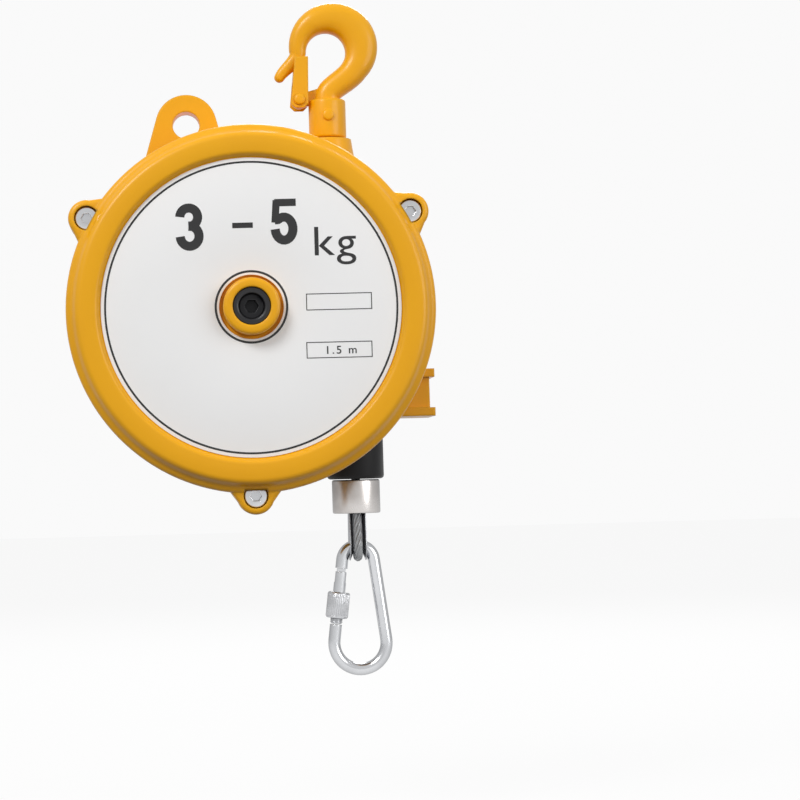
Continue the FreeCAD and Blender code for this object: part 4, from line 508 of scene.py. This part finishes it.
def cast_mark(name, strokes, front, back, width):
    """Raised strokes on the flat back face, each a bar with softened edges."""
    mesh = bmesh.new()
    for start, stop in strokes:
        run = Vector((stop[0] - start[0], 0, stop[1] - start[1]))
        middle = Vector(((start[0] + stop[0]) / 2, (front + back) / 2, (start[1] + stop[1]) / 2))
        bar = bmesh.ops.create_cube(mesh, size=1.0)["verts"]
        bmesh.ops.scale(mesh, vec=(run.length + width, back - front, width), verts=bar)
        turn = Matrix.Rotation(-math.atan2(run.z, run.x), 4, "Y")
        bmesh.ops.transform(mesh, matrix=Matrix.Translation(middle) @ turn, verts=bar)
    rim = [edge for edge in mesh.edges if all(vert.co.y > (front + back) / 2 for vert in edge.verts)]
    bmesh.ops.bevel(mesh, geom=rim, offset=width * 0.3, segments=3, affect="EDGES", profile=0.5, material=-1)
    bmesh.ops.recalc_face_normals(mesh, faces=list(mesh.faces))
    return settle(to_object(name, mesh, DRUM, enamel), "casing", "yellow_casting")


MARK_FOOT, MARK_FACE = 16.0 - 0.3, 16.0 + 0.8
cast_mark("cast_minus", [((-9.6, 33.8), (-4.2, 33.8))], MARK_FOOT, MARK_FACE, 2.0)
cast_mark("cast_arrow", [((-5.8, 29.2), (-18.6, 19.4)), ((-17.2, 24.0), (-25.8, 24.8)),
                         ((-18.6, 19.4), (-25.6, 24.6))], MARK_FOOT, MARK_FACE, 1.9)


def swept(outline, stations, closed_outline=True, capped=True):
    """Carry an outline in its own X and Y along a list of station matrices."""
    mesh = bmesh.new()
    ring = [mesh.verts.new(stations[0] @ Vector((u, v, 0))) for u, v in outline]
    pairs = list(zip(ring, ring[1:] + ring[:1]))
    edges = [mesh.edges.new(pair) for pair in (pairs if closed_outline else pairs[:-1])]
    first = list(edges)
    for near, far in zip(stations, stations[1:]):
        made = bmesh.ops.extrude_edge_only(mesh, edges=edges)["geom"]
        verts = {item for item in made if isinstance(item, bmesh.types.BMVert)}
        edges = [item for item in made if isinstance(item, bmesh.types.BMEdge)
                 and item.verts[0] in verts and item.verts[1] in verts]
        bmesh.ops.transform(mesh, matrix=far @ near.inverted(), verts=list(verts))
    if capped:
        bmesh.ops.edgeloop_fill(mesh, edges=first)
        bmesh.ops.edgeloop_fill(mesh, edges=edges)
    bmesh.ops.recalc_face_normals(mesh, faces=list(mesh.faces))
    return mesh


# The hook's boss and the lug run out into the wall through cast roots.
root_stations = [Matrix.Translation(place) @ Matrix.Diagonal((reach, reach, 1, 1)) for place, reach in [
    ((35.5, 0, 31.5), 15.7), ((35.5, 0, 29.8), 16.30), ((35.5, 0, 28.0), 16.55), ((36.4, 0.5, 26.6), 15.5),
    ((38.4, 0.9, 25.0), 13.9), ((40.8, -0.2, 23.0), 11.2), ((43.2, -2.2, 20.8), 7.6),
    ((45.0, -4.6, 18.8), 3.6)]]
round_section = [(math.cos(math.tau * k / 72), math.sin(math.tau * k / 72)) for k in range(72)]
settle(to_object("boss_root", swept(round_section, root_stations), DRUM, enamel), "casing", "yellow_casting")
lug_root = plate([(-47.1, 49.2), (-47.4, 46.4), (-45.2, 41.8), (-36.0, 49.6), (-28.0, 53.9), (-28.0, 56.6)],
                 -1.48, -10.4)
settle(to_object("lug_root", lug_root, DRUM, enamel), "casing", "yellow_casting")


# ---------------------------------------------------------------- the wire rope
# 4 mm galvanised wire rope of six strands. It lies in the drum's helical groove, leaves the small end on a
# straight line, turns down through the outlet bush, and ends in an eye with a thimble round the carabiner.

rope_steel = finish_of("wire rope", (0.40, 0.41, 0.42), (0.26, 0.26, 0.27), 0.50, metallic=0.55,
                       dust_amount=0.5, grain=2200.0, relief=0.00008, edge_radius=0.0002)
ROPE_RADIUS, ROPE_LAY, STRANDS = 2.0, 22.0, 6


def strand_outline(radius):
    """The rope's outline across: six round strands side by side round the core."""
    strand = radius * 0.345
    reach = radius - strand
    points = []
    for lobe in range(STRANDS):
        middle = math.tau * lobe / STRANDS
        for step in range(4):
            angle = middle + (step / 3 - 0.5) * math.radians(180)
            points.append((reach * math.cos(middle) + strand * math.cos(angle),
                           reach * math.sin(middle) + strand * math.sin(angle)))
    return points


def station(place, along, side, twist=0.0, wide=1.0, deep=1.0):
    """A matrix whose Z runs along the path and whose X starts out to the side, turned by the lay."""
    forward = along.normalized()
    across = (side - forward * side.dot(forward)).normalized()
    up = forward.cross(across)
    basis = Matrix((across, up, forward)).transposed().to_4x4()
    turn = Matrix.Rotation(twist, 4, "Z")
    return Matrix.Translation(place) @ basis @ turn @ Matrix.Diagonal((wide, deep, 1, 1))


def runs(points):
    """Each point of a path with the direction of the path there."""
    for index, point in enumerate(points):
        yield point, points[min(index + 1, len(points) - 1)] - points[max(index - 1, 0)]


def rope_along(points, side):
    """Stations along a path, with the strands laid up as they go."""
    stations, travelled, last = [], 0.0, points[0]
    for point, run in runs(points):
        travelled += (point - last).length
        last = point
        out = side(point) if callable(side) else side
        stations.append(station(point, run, out, math.tau * travelled / ROPE_LAY))
    return stations


def rope(name, points, side, radius=ROPE_RADIUS):
    """A length of rope along a path."""
    return to_object(name, swept(strand_outline(radius), rope_along(points, side)), DRUM, rope_steel)


outlet_low, outlet_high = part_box("outlet_bush")
drop_low, drop_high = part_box("rope_drop")
into_drum = DRUM.inverted()
OUTLET_X = (into_drum @ ((drop_low + drop_high) / 2)).x
OUTLET_TOP = (into_drum @ outlet_high).z
ARM_BOTTOM = (into_drum @ outlet_low).z
GROOVE, GROOVE_STEP, GROOVE_PITCH, TURNS = 40.5, 4.9, 5.0, 4.45
reach_out = math.hypot(OUTLET_X, OUTLET_TOP)
LEAVE = math.acos(GROOVE / reach_out) - math.atan2(-OUTLET_TOP, OUTLET_X)


def groove_point(turns):
    """A point on the centre line of the drum's helical groove."""
    angle = LEAVE + math.tau * turns
    radius = GROOVE + GROOVE_STEP * turns
    return Vector((radius * math.cos(angle), -GROOVE_PITCH * turns, radius * math.sin(angle)))


def out_from_axis(point):
    return Vector((point.x, 0, point.z))


SIDEWAYS, BACKWARDS, DOWN = Vector((1, 0, 0)), Vector((0, 1, 0)), Vector((0, 0, -1))
STEPS_TO_A_TURN = 110
wound_points = [groove_point(step / STEPS_TO_A_TURN) for step in range(int(TURNS * STEPS_TO_A_TURN))]
settle(rope("rope_on_drum", wound_points, out_from_axis), "drum", "wire_rope", "rope_wound")

leave_point = groove_point(0)
turn_point = Vector((OUTLET_X, 0, OUTLET_TOP))
lead_points = [leave_point.lerp(turn_point, step / 24) for step in range(24)]
lead_points += [Vector((OUTLET_X, 0, OUTLET_TOP + (ARM_BOTTOM - OUTLET_TOP) * step / 4)) for step in range(5)]
settle(rope("rope_to_outlet", lead_points, BACKWARDS), "casing", "wire_rope", "rope_lead")

# The end below the outlet is held by the casing at its top and by the buffer below. Its first few
# millimetres draw out to the whole travel when the rope is pulled, so they carry the lay of all of it.
drop_top, drop_end = into_drum @ drop_high, into_drum @ drop_low
TRAVEL, DRAWN, STEPS_TO_A_LAY = 1500.0, 3.5, 8
drawn_steps = round(TRAVEL / ROPE_LAY) * STEPS_TO_A_LAY
drop_stations = []
for step in range(drawn_steps + 1):
    depth = DRAWN * (0.5 - math.sin(math.asin(1 - 2 * step / drawn_steps) / 3))
    drop_stations.append(station(Vector((OUTLET_X, 0, drop_top.z - depth)), DOWN, BACKWARDS,
                                 math.tau * step / STEPS_TO_A_LAY))
for step in range(1, 13):
    below = (drop_top.z - DRAWN - drop_end.z) * step / 12
    drop_stations.append(station(Vector((OUTLET_X, 0, drop_top.z - DRAWN - below)), DOWN, BACKWARDS,
                                 math.tau * below / ROPE_LAY))
drop = to_object("rope_through_buffer", swept(strand_outline(ROPE_RADIUS), drop_stations), DRUM, rope_steel)
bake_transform(drop)
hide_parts("rope_drop")

WIRE = 2.55
FERRULE_END = (into_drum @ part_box("rope_ferrule")[0]).z
WIRE_TOP = (into_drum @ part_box("carabiner_body")[1]).z - WIRE
EYE_RADIUS = WIRE + ROPE_RADIUS + 0.3
eye_close = ROPE_RADIUS + 0.1
eye_rise = FERRULE_END - WIRE_TOP
eye_side = math.atan2(eye_rise, eye_close) - math.acos(EYE_RADIUS / math.hypot(eye_close, eye_rise))


def eye_leg(hand):
    """One leg of the eye, from the ferrule down to where the loop begins."""
    top = Vector((OUTLET_X, hand * eye_close, FERRULE_END))
    foot = Vector((OUTLET_X, hand * EYE_RADIUS * math.cos(eye_side),
                   WIRE_TOP + EYE_RADIUS * math.sin(eye_side)))
    return [top.lerp(foot, step / 8) for step in range(8)]


loop_angles = [math.pi - eye_side + (math.pi + 2 * eye_side) * step / 18 for step in range(19)]
loop = [Vector((OUTLET_X, EYE_RADIUS * math.cos(angle), WIRE_TOP + EYE_RADIUS * math.sin(angle)))
        for angle in loop_angles]
eye_points = eye_leg(-1) + loop + eye_leg(1)[::-1]
eye = rope("rope_eye_loop", eye_points, SIDEWAYS, ROPE_RADIUS - 0.1)
settle(eye, "rope_end", "wire_rope", "rope_eye")

# The thimble's dark rim is a painted dark reflection at grazing view.
thimble_steel = finish_of("galvanised thimble", (0.55, 0.56, 0.58), (0.35, 0.35, 0.36), 0.32, metallic=0.9,
                          dust_amount=0.4, edge_radius=0.0003, painted_dark_reflection=0.6)
channel = [(-2.2, -1.75), (-3.5, 1.3), (-3.2, 1.45), (-2.0, -1.45), (2.0, -1.45), (3.2, 1.45), (3.5, 1.3),
           (2.2, -1.75)]
thimble = swept(channel, [station(point, run, SIDEWAYS) for point, run in runs(eye_points)])
settle(to_object("rope_thimble", thimble, DRUM, thimble_steel), "rope_end", "zinc_steel")


# ---------------------------------------------------------------- the drum
# A cast aluminium cone with a helical groove for the rope, a large flange in front and a short collar at the
# back. The power spring lies inside it behind a sheet cover, where it can't be seen.

cast_alloy = finish_of("cast aluminium", (0.36, 0.37, 0.38), (0.20, 0.20, 0.21), 0.46, metallic=0.75,
                       dust_amount=0.4, relief=0.00003, edge_radius=0.0004)
EMPTY_TURNS, ALL_TURNS, GROOVE_STEPS = -1.9, 6.4, 72
groove_outline = [(-0.9, 3.35), (-1.45, 1.7), (-2.1, 0.7), (-2.2, -0.2), (-1.9, -1.2), (-1.2, -1.9),
                  (-0.2, -2.2), (0.7, -2.1), (1.7, -1.45), (4.0, -1.65)]


def groove_station(turns):
    """Placed without twist: X away from the axis, Y along it."""
    point = groove_point(turns)
    out = out_from_axis(point).normalized()
    basis = Matrix((out, BACKWARDS, out.cross(BACKWARDS))).transposed().to_4x4()
    return Matrix.Translation(point) @ basis


groove_turns = [EMPTY_TURNS + step / GROOVE_STEPS for step in range(int(ALL_TURNS * GROOVE_STEPS))]
surface = swept(groove_outline, [groove_station(turns) for turns in groove_turns], closed_outline=False,
                capped=False)
bmesh.ops.remove_doubles(surface, verts=list(surface.verts), dist=1e-3)
settle(to_object("drum_groove", surface, DRUM, cast_alloy), "drum", "cast_alloy")
BORE, FLANGE, SPRING_ROOM = 13.5, 68.5, 44.0
core = to_object("drum_core", turned([
    (BORE, 9.0), (29.0, 9.0, 0.6), (37.4, 0.0), (60.0, -23.0), (62.9, -24.6), (FLANGE, -24.6, 0.6),
    (FLANGE, -29.0, 0.6), (SPRING_ROOM, -29.0), (SPRING_ROOM, -10.0), (BORE, -10.0)]), DRUM, cast_alloy)
settle(core, "drum", "cast_alloy", "rope_drum")
for hidden in ("spring_cover", "spring_cover_screws"):
    paint(hidden, zinc)
spring_steel = finish_of("blued spring steel", (0.10, 0.11, 0.14), (0.05, 0.05, 0.05), 0.35, metallic=0.9)
paint("power_spring", spring_steel)


# ---------------------------------------------------------------- the ratchet
# A blackened wheel with six teeth sits on the square end of the shaft and a spring-loaded pawl with a thumb
# tab holds it. A hex key in the wheel resets the spring.

dressed("ratchet_wheel", "ratchet_wheel_cut", "spindle", "dark_steel", dark_steel, bevel=0.35)
FLANGE_HOLE, FLANGE_RADIUS, FLANGE_FOOT, FLANGE_TOP = 8.2, 14.8, 16.2, 18.2
wheel_flange = turned([(FLANGE_HOLE, FLANGE_FOOT), (FLANGE_RADIUS, FLANGE_FOOT, 0.4),
                       (FLANGE_RADIUS, FLANGE_TOP, 0.5), (FLANGE_HOLE, FLANGE_TOP)], steps=96)
settle(to_object("ratchet_wheel_flange", wheel_flange, DRUM, dark_steel), "spindle", "dark_steel")
pawl = merged_copy("ratchet_pawl")
corners = [edge for edge in pawl.edges if len(edge.link_faces) == 2
           and abs((edge.verts[0].co - edge.verts[1].co).y) > 0.9 * edge.calc_length()
           and math.radians(14) < edge.calc_face_angle(0) < math.radians(65)]
bmesh.ops.bevel(pawl, geom=corners, offset=1.6 * MM, segments=5, affect="EDGES", profile=0.5, material=-1,
                clamp_overlap=True)
pawl_piece = to_object("ratchet_pawl_cut", pawl, Matrix.Identity(4), dark_steel)
break_edges(pawl_piece, 0.5, 50)
settle(pawl_piece, "pawl", "dark_steel", "ratchet_pawl")
dressed("pawl_screw", "pawl_screw_turned", "casing", "dark_steel", dark_steel, bevel=0.25)
paint("pawl_spring", spring_steel)


# ---------------------------------------------------------------- outlet, buffer and stop ring
# The rope comes out through a black bush. A black rubber buffer and a bright steel ring ride on the rope's
# end: the ring covers the crimped ferrule, and the buffer softens the stop against the arm.

# The paler edge colours of the rubber and the turned steel are painted highlights along their edges.
rubber = finish_of("black rubber", (0.006, 0.006, 0.007), (0.02, 0.02, 0.02), 0.50, dust_amount=0.35,
                   drift=0.08, relief=0.00003, painted_edge_highlight_colour=(0.03, 0.03, 0.03), painted_edge_highlight_amount=0.4, specular=0.25)
# The turned steel's dark rim is a painted dark reflection at grazing view.
turned_steel = finish_of("turned steel", (0.72, 0.69, 0.67), (0.40, 0.36, 0.33), 0.30, metallic=1.0,
                         dust_amount=0.6, drift=0.1, grain=60.0, relief=0.000006, edge_radius=0.0004,
                         painted_edge_highlight_colour=(0.8, 0.8, 0.8), painted_dark_reflection=0.8)
ROPE_BORE = 2.3
UPRIGHT = DRUM @ (Matrix.Translation((OUTLET_X, 0, 0)) @ Matrix.Rotation(math.pi / 2, 4, "X"))
dressed("outlet_bush", "outlet_bush_moulding", "casing", "black_polymer", black_polymer, bevel=0.0)
buffer_low, buffer_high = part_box("rubber_buffer")
BUFFER_TOP, BUFFER_END = (into_drum @ buffer_high).z, (into_drum @ buffer_low).z
buffer = to_object("rubber_buffer_moulding", turned([
    (ROPE_BORE, BUFFER_TOP), (12.5, BUFFER_TOP, 1.2), (12.5, BUFFER_TOP - 5.0, 1.5),
    (11.9, BUFFER_TOP - 7.0, 1.0), (11.9, BUFFER_END, 1.4), (ROPE_BORE, BUFFER_END)], steps=96),
    UPRIGHT, rubber)
settle(buffer, "rope_end", "rubber", "rubber_buffer")
ring_low, ring_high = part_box("stop_ring")
RING_TOP, RING_END = (into_drum @ ring_high).z, (into_drum @ ring_low).z
ring = to_object("stop_ring_turned", turned([
    (ROPE_BORE, RING_TOP), (10.0, RING_TOP, 0.7), (10.0, RING_END, 0.7), (4.7, RING_END, 0.3),
    (4.7, RING_TOP - 3.0), (ROPE_BORE, RING_TOP - 3.0)], steps=96), UPRIGHT, turned_steel)
settle(ring, "rope_end", "zinc_steel", "stop_ring")
paint("stop_ring_screw", dark_steel)
paint("rope_ferrule", cast_alloy)


# ---------------------------------------------------------------- hook, latch and swivel
# A forged hook with a swelling bowl and a thin point, pinned in a turned barrel whose stud turns in the
# casing. A folded latch on a rivet closes the throat. All of it is painted with the castings' enamel.

THROAT, CROWN, BACK, FRONT = 8.3, 12.9, 13.8, 7.2
OUTER = THROAT + (BACK + FRONT) / 2
OUTER_X = (BACK - FRONT) / 2
OUTER_Z = THROAT + CROWN - OUTER
BARREL_TOP = -28.9
SHANK = 5.2
LATCH_X, LATCH_Z = -11.8, -28.8


def pull(start, start_pull, stop_pull, stop, t):
    """A point on the curve that leaves start towards its pull and comes to stop from the other's."""
    return (start * (1 - t) ** 3 + start_pull * (3 * t * (1 - t) ** 2) + stop_pull * (3 * t**2 * (1 - t))
            + stop * t**3)


def bowl_section(angle):
    """Centre and thickness of the bowl between its throat circle and its outer circle."""
    ray = Vector((math.cos(angle), 0, math.sin(angle)))
    along = ray.x * OUTER_X + ray.z * OUTER_Z
    edge = along + math.sqrt(along**2 + OUTER**2 - OUTER_X**2 - OUTER_Z**2)
    return Vector((0, 0, -THROAT)) + ray * ((THROAT + edge) / 2), edge - THROAT


forging_line = [(Vector((0, 0, BARREL_TOP - 9)), 2 * SHANK), (Vector((0, 0, BARREL_TOP - 3)), 2 * SHANK),
                (Vector((0, 0, BARREL_TOP + 0.2)), 2 * SHANK)]
BOWL_START, BOWL_SWEEP = math.radians(-30), 210
entry, entry_thickness = bowl_section(BOWL_START)
entry_run = Vector((math.sin(BOWL_START), 0, -math.cos(BOWL_START)))
lower = Vector((0, 0, BARREL_TOP + 1))
for step in range(1, 9):
    t = step / 9
    forging_line.append((pull(lower, lower + Vector((0, 0, THROAT * 0.55)), entry + entry_run * THROAT * 0.75,
                              entry, t), 2 * SHANK + (entry_thickness - 2 * SHANK) * t**2))
for step in range(57):
    forging_line.append(bowl_section(math.radians(-30 + BOWL_SWEEP * step / 56)))
bowl_end, bowl_end_thickness = forging_line[-1]
tip, TIP_THICKNESS = Vector((-19.9, 0, -18.6)), 4.4
for step in range(1, 11):
    t = step / 10
    forging_line.append((pull(bowl_end, bowl_end + Vector((0, 0, -THROAT * 0.4)),
                              tip + Vector((1.6, 0, THROAT * 0.4)), tip, t),
                         bowl_end_thickness + (TIP_THICKNESS - bowl_end_thickness) * t))
tip_run = (forging_line[-1][0] - forging_line[-2][0]).normalized()
for step in range(1, 6):
    angle = math.pi / 2 * step / 5.4
    forging_line.append((tip + tip_run * 2.1 * math.sin(angle), TIP_THICKNESS * math.cos(angle)))
hook_stations = []
for index, (place, run) in enumerate(runs([place for place, _ in forging_line])):
    along = Vector((0, 0, 1)) if index < 3 else run
    half = forging_line[index][1] / 2
    hook_stations.append(station(place, along, along.cross(BACKWARDS), wide=half, deep=min(half, 5.5)))


def fuller(value):
    """A sine or cosine that gives a circle slightly square shoulders, as a forging die leaves them."""
    return math.copysign(abs(value) ** 0.84, value)


section = [(fuller(math.cos(math.tau * k / 40)), fuller(math.sin(math.tau * k / 40))) for k in range(40)]
hook = to_object("upper_hook_forging", swept(section, hook_stations), HOOK, enamel)
ear_angles = [math.radians(100 + 180 * k / 14) for k in range(15)]
hook_ear = to_object("hook_ear", plate(
    [(LATCH_X + 3.3 * math.cos(angle), LATCH_Z + 3.3 * math.sin(angle)) for angle in ear_angles]
    + [(-6.0, -30.2), (-2.0, -28.6), (1.0, -24.4), (-3.0, -23.6), (-8.0, -25.0)], -1.5, 1.5), HOOK, enamel)
carve(hook, [hook_ear], "UNION")
settle(hook, "hook", "yellow_paint", "upper_hook")

BARREL, BARREL_FOOT, STUD, STUD_END = 7.85, -45.2, 4.0, -70.6
barrel = to_object("hook_barrel_turned", turned([
    (0, -29.6), (6.6, BARREL_TOP, 0.6), (BARREL, BARREL_TOP, 1.1), (BARREL, BARREL_FOOT, 0.8),
    (STUD, BARREL_FOOT), (STUD, STUD_END, 0.6), (0, STUD_END)], steps=80),
    HOOK @ Matrix.Rotation(math.pi / 2, 4, "X"), enamel)
settle(barrel, "hook", "yellow_paint", "hook_barrel")
pin = to_object("hook_cross_pin_head", turned([(0, -8.75), (2.5, -8.65, 0.8), (2.5, 8.65, 0.8), (0, 8.75)],
                                              steps=40), HOOK @ Matrix.Translation((0, 0, -36.1)), enamel)
settle(pin, "hook", "yellow_paint", "hook_cross_pin")
dressed("hook_latch", "hook_latch_pressing", "latch", "yellow_paint", enamel, bevel=0.45)
rivet = to_object("latch_rivet", turned([
    (0, -6.45), (2.5, -6.35, 0.9), (2.5, -5.45), (1.5, -5.45), (1.5, 5.45), (2.5, 5.45), (2.5, 6.35, 0.9),
    (0, 6.45)], steps=40), HOOK @ Matrix.Translation((LATCH_X, 0, LATCH_Z)), enamel)
settle(rivet, "hook", "yellow_paint", "latch_pin")
paint("latch_spring", spring_steel)
paint("swivel_washer", zinc)
paint("swivel_nut", zinc)


# ---------------------------------------------------------------- the carabiner
# A bright zinc plated screw-gate carabiner bent from round wire. The gate turns on a pin at the small end
# and a knurled nut on its thread locks it to the body.

SMALL, LARGE, SPACING = 6.65, 10.9, 33.8
LEAN = math.asin((LARGE - SMALL) / SPACING)
small_end = Vector((OUTLET_X, 0, WIRE_TOP - SMALL))
large_end = small_end - Vector((0, 0, SPACING))


def beside(centre, radius, hand):
    return centre + Vector((hand * math.cos(LEAN), 0, math.sin(LEAN))) * radius


def down(hand):
    return Vector((hand * math.sin(LEAN), 0, -math.cos(LEAN)))


def on_gate(distance):
    return beside(small_end, SMALL, -1) + down(-1) * distance


def round_end(centre, radius, first, last, count):
    return [centre + Vector((math.cos(first + (last - first) * k / count), 0,
                             math.sin(first + (last - first) * k / count))) * radius for k in range(count + 1)]


body_points = [on_gate(27.0), on_gate(29.0)]
body_points += round_end(large_end, LARGE, math.pi - LEAN, math.tau + LEAN, 28)
right_low, right_high = beside(large_end, LARGE, 1), beside(small_end, SMALL, 1)
body_points += [right_low.lerp(right_high, k / 6) for k in range(1, 6)]
body_points += round_end(small_end, SMALL, LEAN, math.pi - LEAN, 22)
body_points += [on_gate(1.8), on_gate(3.6)]
wire_circle = [(WIRE * math.cos(math.tau * k / 28), WIRE * math.sin(math.tau * k / 28)) for k in range(28)]


def bent_wire(name, points):
    """Round wire along a path."""
    stations = [station(point, run, BACKWARDS) for point, run in runs(points)]
    return to_object(name, swept(wire_circle, stations), DRUM, zinc)


body_wire = bent_wire("carabiner_wire", body_points)
tongue_frame = station(on_gate(2.6), down(-1), BACKWARDS)
tongue = bmesh.new()
bmesh.ops.create_cube(tongue, size=1.0)
bmesh.ops.scale(tongue, vec=(2.0, 3.6, 6.0), verts=list(tongue.verts))
bmesh.ops.translate(tongue, vec=(0, 0, 2.4), verts=list(tongue.verts))
across = [edge for edge in tongue.edges if abs((edge.verts[0].co - edge.verts[1].co).x) > 1.5]
bmesh.ops.bevel(tongue, geom=across, offset=1.2, segments=4, affect="EDGES", profile=0.5, material=-1)
bmesh.ops.transform(tongue, matrix=tongue_frame, verts=list(tongue.verts))
carve(body_wire, [to_object("tongue", tongue, DRUM, zinc)], "UNION")
settle(body_wire, "carabiner", "zinc_steel", "carabiner_body")

GATE_START, GATE_END = 5.1, 22.2
gate_points = [on_gate(GATE_START + (GATE_END - GATE_START) * k / 4) for k in range(5)]
gate = bent_wire("carabiner_gate_bar", gate_points)
fork = bmesh.new()
bmesh.ops.create_cube(fork, size=1.0)
bmesh.ops.scale(fork, vec=(2.4, 12.0, 6.4), verts=list(fork.verts))
bmesh.ops.transform(fork, matrix=station(on_gate(GATE_START + 1.2), down(-1), BACKWARDS),
                    verts=list(fork.verts))
carve(gate, [to_object("fork", fork, DRUM, zinc)], "DIFFERENCE")
settle(gate, "gate", "zinc_steel", "carabiner_gate")
paint("gate_pin", zinc)

along_gate = station(on_gate(0), down(-1), BACKWARDS) @ Matrix.Rotation(math.pi / 2, 4, "X")
THREAD_ROOT, THREAD_CREST, THREAD_PITCH, THREADS = 2.3, 2.68, 0.62, 7
thread = [(1.5, 21.6), (THREAD_ROOT, 21.6)]
for k in range(THREADS):
    thread += [(THREAD_ROOT, 21.9 + k * THREAD_PITCH), (THREAD_CREST, 22.2 + k * THREAD_PITCH)]
thread += [(THREAD_ROOT, 21.9 + THREADS * THREAD_PITCH), (2.2, 26.6), (1.5, 26.6)]
gate_thread = to_object("gate_thread", turned(thread, steps=48), DRUM @ along_gate, zinc)
settle(gate_thread, "gate", "zinc_steel")
nut_mesh = turned([(2.75, 13.5), (4.3, 13.5, 0.3), (4.7, 14.3), (4.7, 23.5), (4.3, 24.3, 0.3), (2.75, 24.3)],
                  steps=72)
ridges = [face for face in nut_mesh.faces
          if 4.5 < math.hypot(face.calc_center_median().x, face.calc_center_median().z)
          and 14.4 < face.calc_center_median().y < 23.4]
ridges.sort(key=lambda face: math.atan2(face.calc_center_median().z, face.calc_center_median().x))
bmesh.ops.inset_individual(nut_mesh, faces=ridges[::2], thickness=0.06, depth=-0.22)
nut = to_object("gate_nut_knurled", nut_mesh, DRUM @ along_gate, zinc)
settle(nut, "nut", "zinc_steel", "gate_nut")


# ---------------------------------------------------------------- studio
# A plain pale floor and world, soft lamps, and the camera in front of the label, a little to its left and
# below it.

def stage_material(name, grey, glow):
    """Pale to the camera and to glossy surfaces, and still a surface that takes a shadow."""
    material = bpy.data.materials.new(name)
    material.use_nodes = True
    tree = material.node_tree
    shader = tree.nodes["Principled BSDF"]
    shader.inputs["Base Color"].default_value = (grey, grey, grey, 1)
    shader.inputs["Roughness"].default_value = 0.9
    shader.inputs["Specular IOR Level"].default_value = 0.0
    path = add(tree, "ShaderNodeLightPath")
    seen = add(tree, "ShaderNodeMath", {0: path.outputs["Is Camera Ray"], 1: path.outputs["Is Glossy Ray"]},
               operation="MAXIMUM")
    seen = add(tree, "ShaderNodeMath", {0: seen.outputs[0], 1: path.outputs["Is Transmission Ray"]},
               operation="MAXIMUM")
    shader.inputs["Emission Color"].default_value = (1, 1, 1, 1)
    level = add(tree, "ShaderNodeMath", {0: seen.outputs[0], 1: glow}, operation="MULTIPLY")
    tree.links.new(level.outputs[0], shader.inputs["Emission Strength"])
    return material


floor_mesh = bmesh.new()
bmesh.ops.create_grid(floor_mesh, x_segments=1, y_segments=1, size=6.0)
floor = to_object("floor", floor_mesh, Matrix.Translation((0, 0, cad_low.z - 0.06)),
                  stage_material("pale floor", 0.08, 0.875))

world = bpy.data.worlds.new("studio")
bpy.context.scene.world = world
world.use_nodes = True
sky = world.node_tree
path = add(sky, "ShaderNodeLightPath")
seen = add(sky, "ShaderNodeMath", {0: path.outputs["Is Camera Ray"], 1: path.outputs["Is Transmission Ray"]},
           operation="MAXIMUM")
level = add(sky, "ShaderNodeMapRange", {"Value": seen.outputs[0], "To Min": 0.72, "To Max": 0.955})
sky.nodes["Background"].inputs["Color"].default_value = (1, 1, 1, 1)
sky.links.new(level.outputs["Result"], sky.nodes["Background"].inputs["Strength"])


def lamp(name, place, size, energy):
    light = bpy.data.lights.new(name, "AREA")
    light.shape = "DISK"
    light.size = size
    light.energy = energy
    holder = bpy.data.objects.new(name, light)
    bpy.context.scene.collection.objects.link(holder)
    aim = Vector((-0.03, 0, -0.13))
    holder.location = place
    holder.rotation_mode = "QUATERNION"
    holder.rotation_quaternion = (aim - Vector(place)).to_track_quat("-Z", "Y")


lamp("key", (-0.75, -0.9, 0.75), 0.5, 9.5)
lamp("fill", (0.9, -0.8, 0.1), 0.8, 4.5)
lamp("back", (0.2, 1.1, 0.7), 0.7, 10.0)

VIEW_AZIMUTH, VIEW_ELEVATION, VIEW_ROLL = math.radians(-1.6), math.radians(-4.4), math.radians(1.5)
VIEW_DISTANCE, SCALE_ACROSS, SENSOR = 0.943, 0.337, 36.0
camera_data = bpy.data.cameras.new("camera")
camera = bpy.data.objects.new("camera", camera_data)
bpy.context.scene.collection.objects.link(camera)
bpy.context.scene.camera = camera
aim = DRUM @ Vector((0, 0, 0))
back = Vector((math.sin(VIEW_AZIMUTH) * math.cos(VIEW_ELEVATION),
               -math.cos(VIEW_AZIMUTH) * math.cos(VIEW_ELEVATION), math.sin(VIEW_ELEVATION)))
camera.location = aim + back * VIEW_DISTANCE
camera.rotation_mode = "QUATERNION"
look = (-back).to_track_quat("-Z", "Y")
camera.rotation_quaternion = look @ Matrix.Rotation(-VIEW_ROLL, 3, "Z").to_quaternion()
camera_data.sensor_width = SENSOR
camera_data.lens = SENSOR * VIEW_DISTANCE / SCALE_ACROSS
camera_data.shift_x = 0.189
camera_data.shift_y = -0.1065
camera_data.clip_start = 0.01
camera_data.clip_end = 50.0
bpy.context.scene.view_settings.view_transform = "Standard"
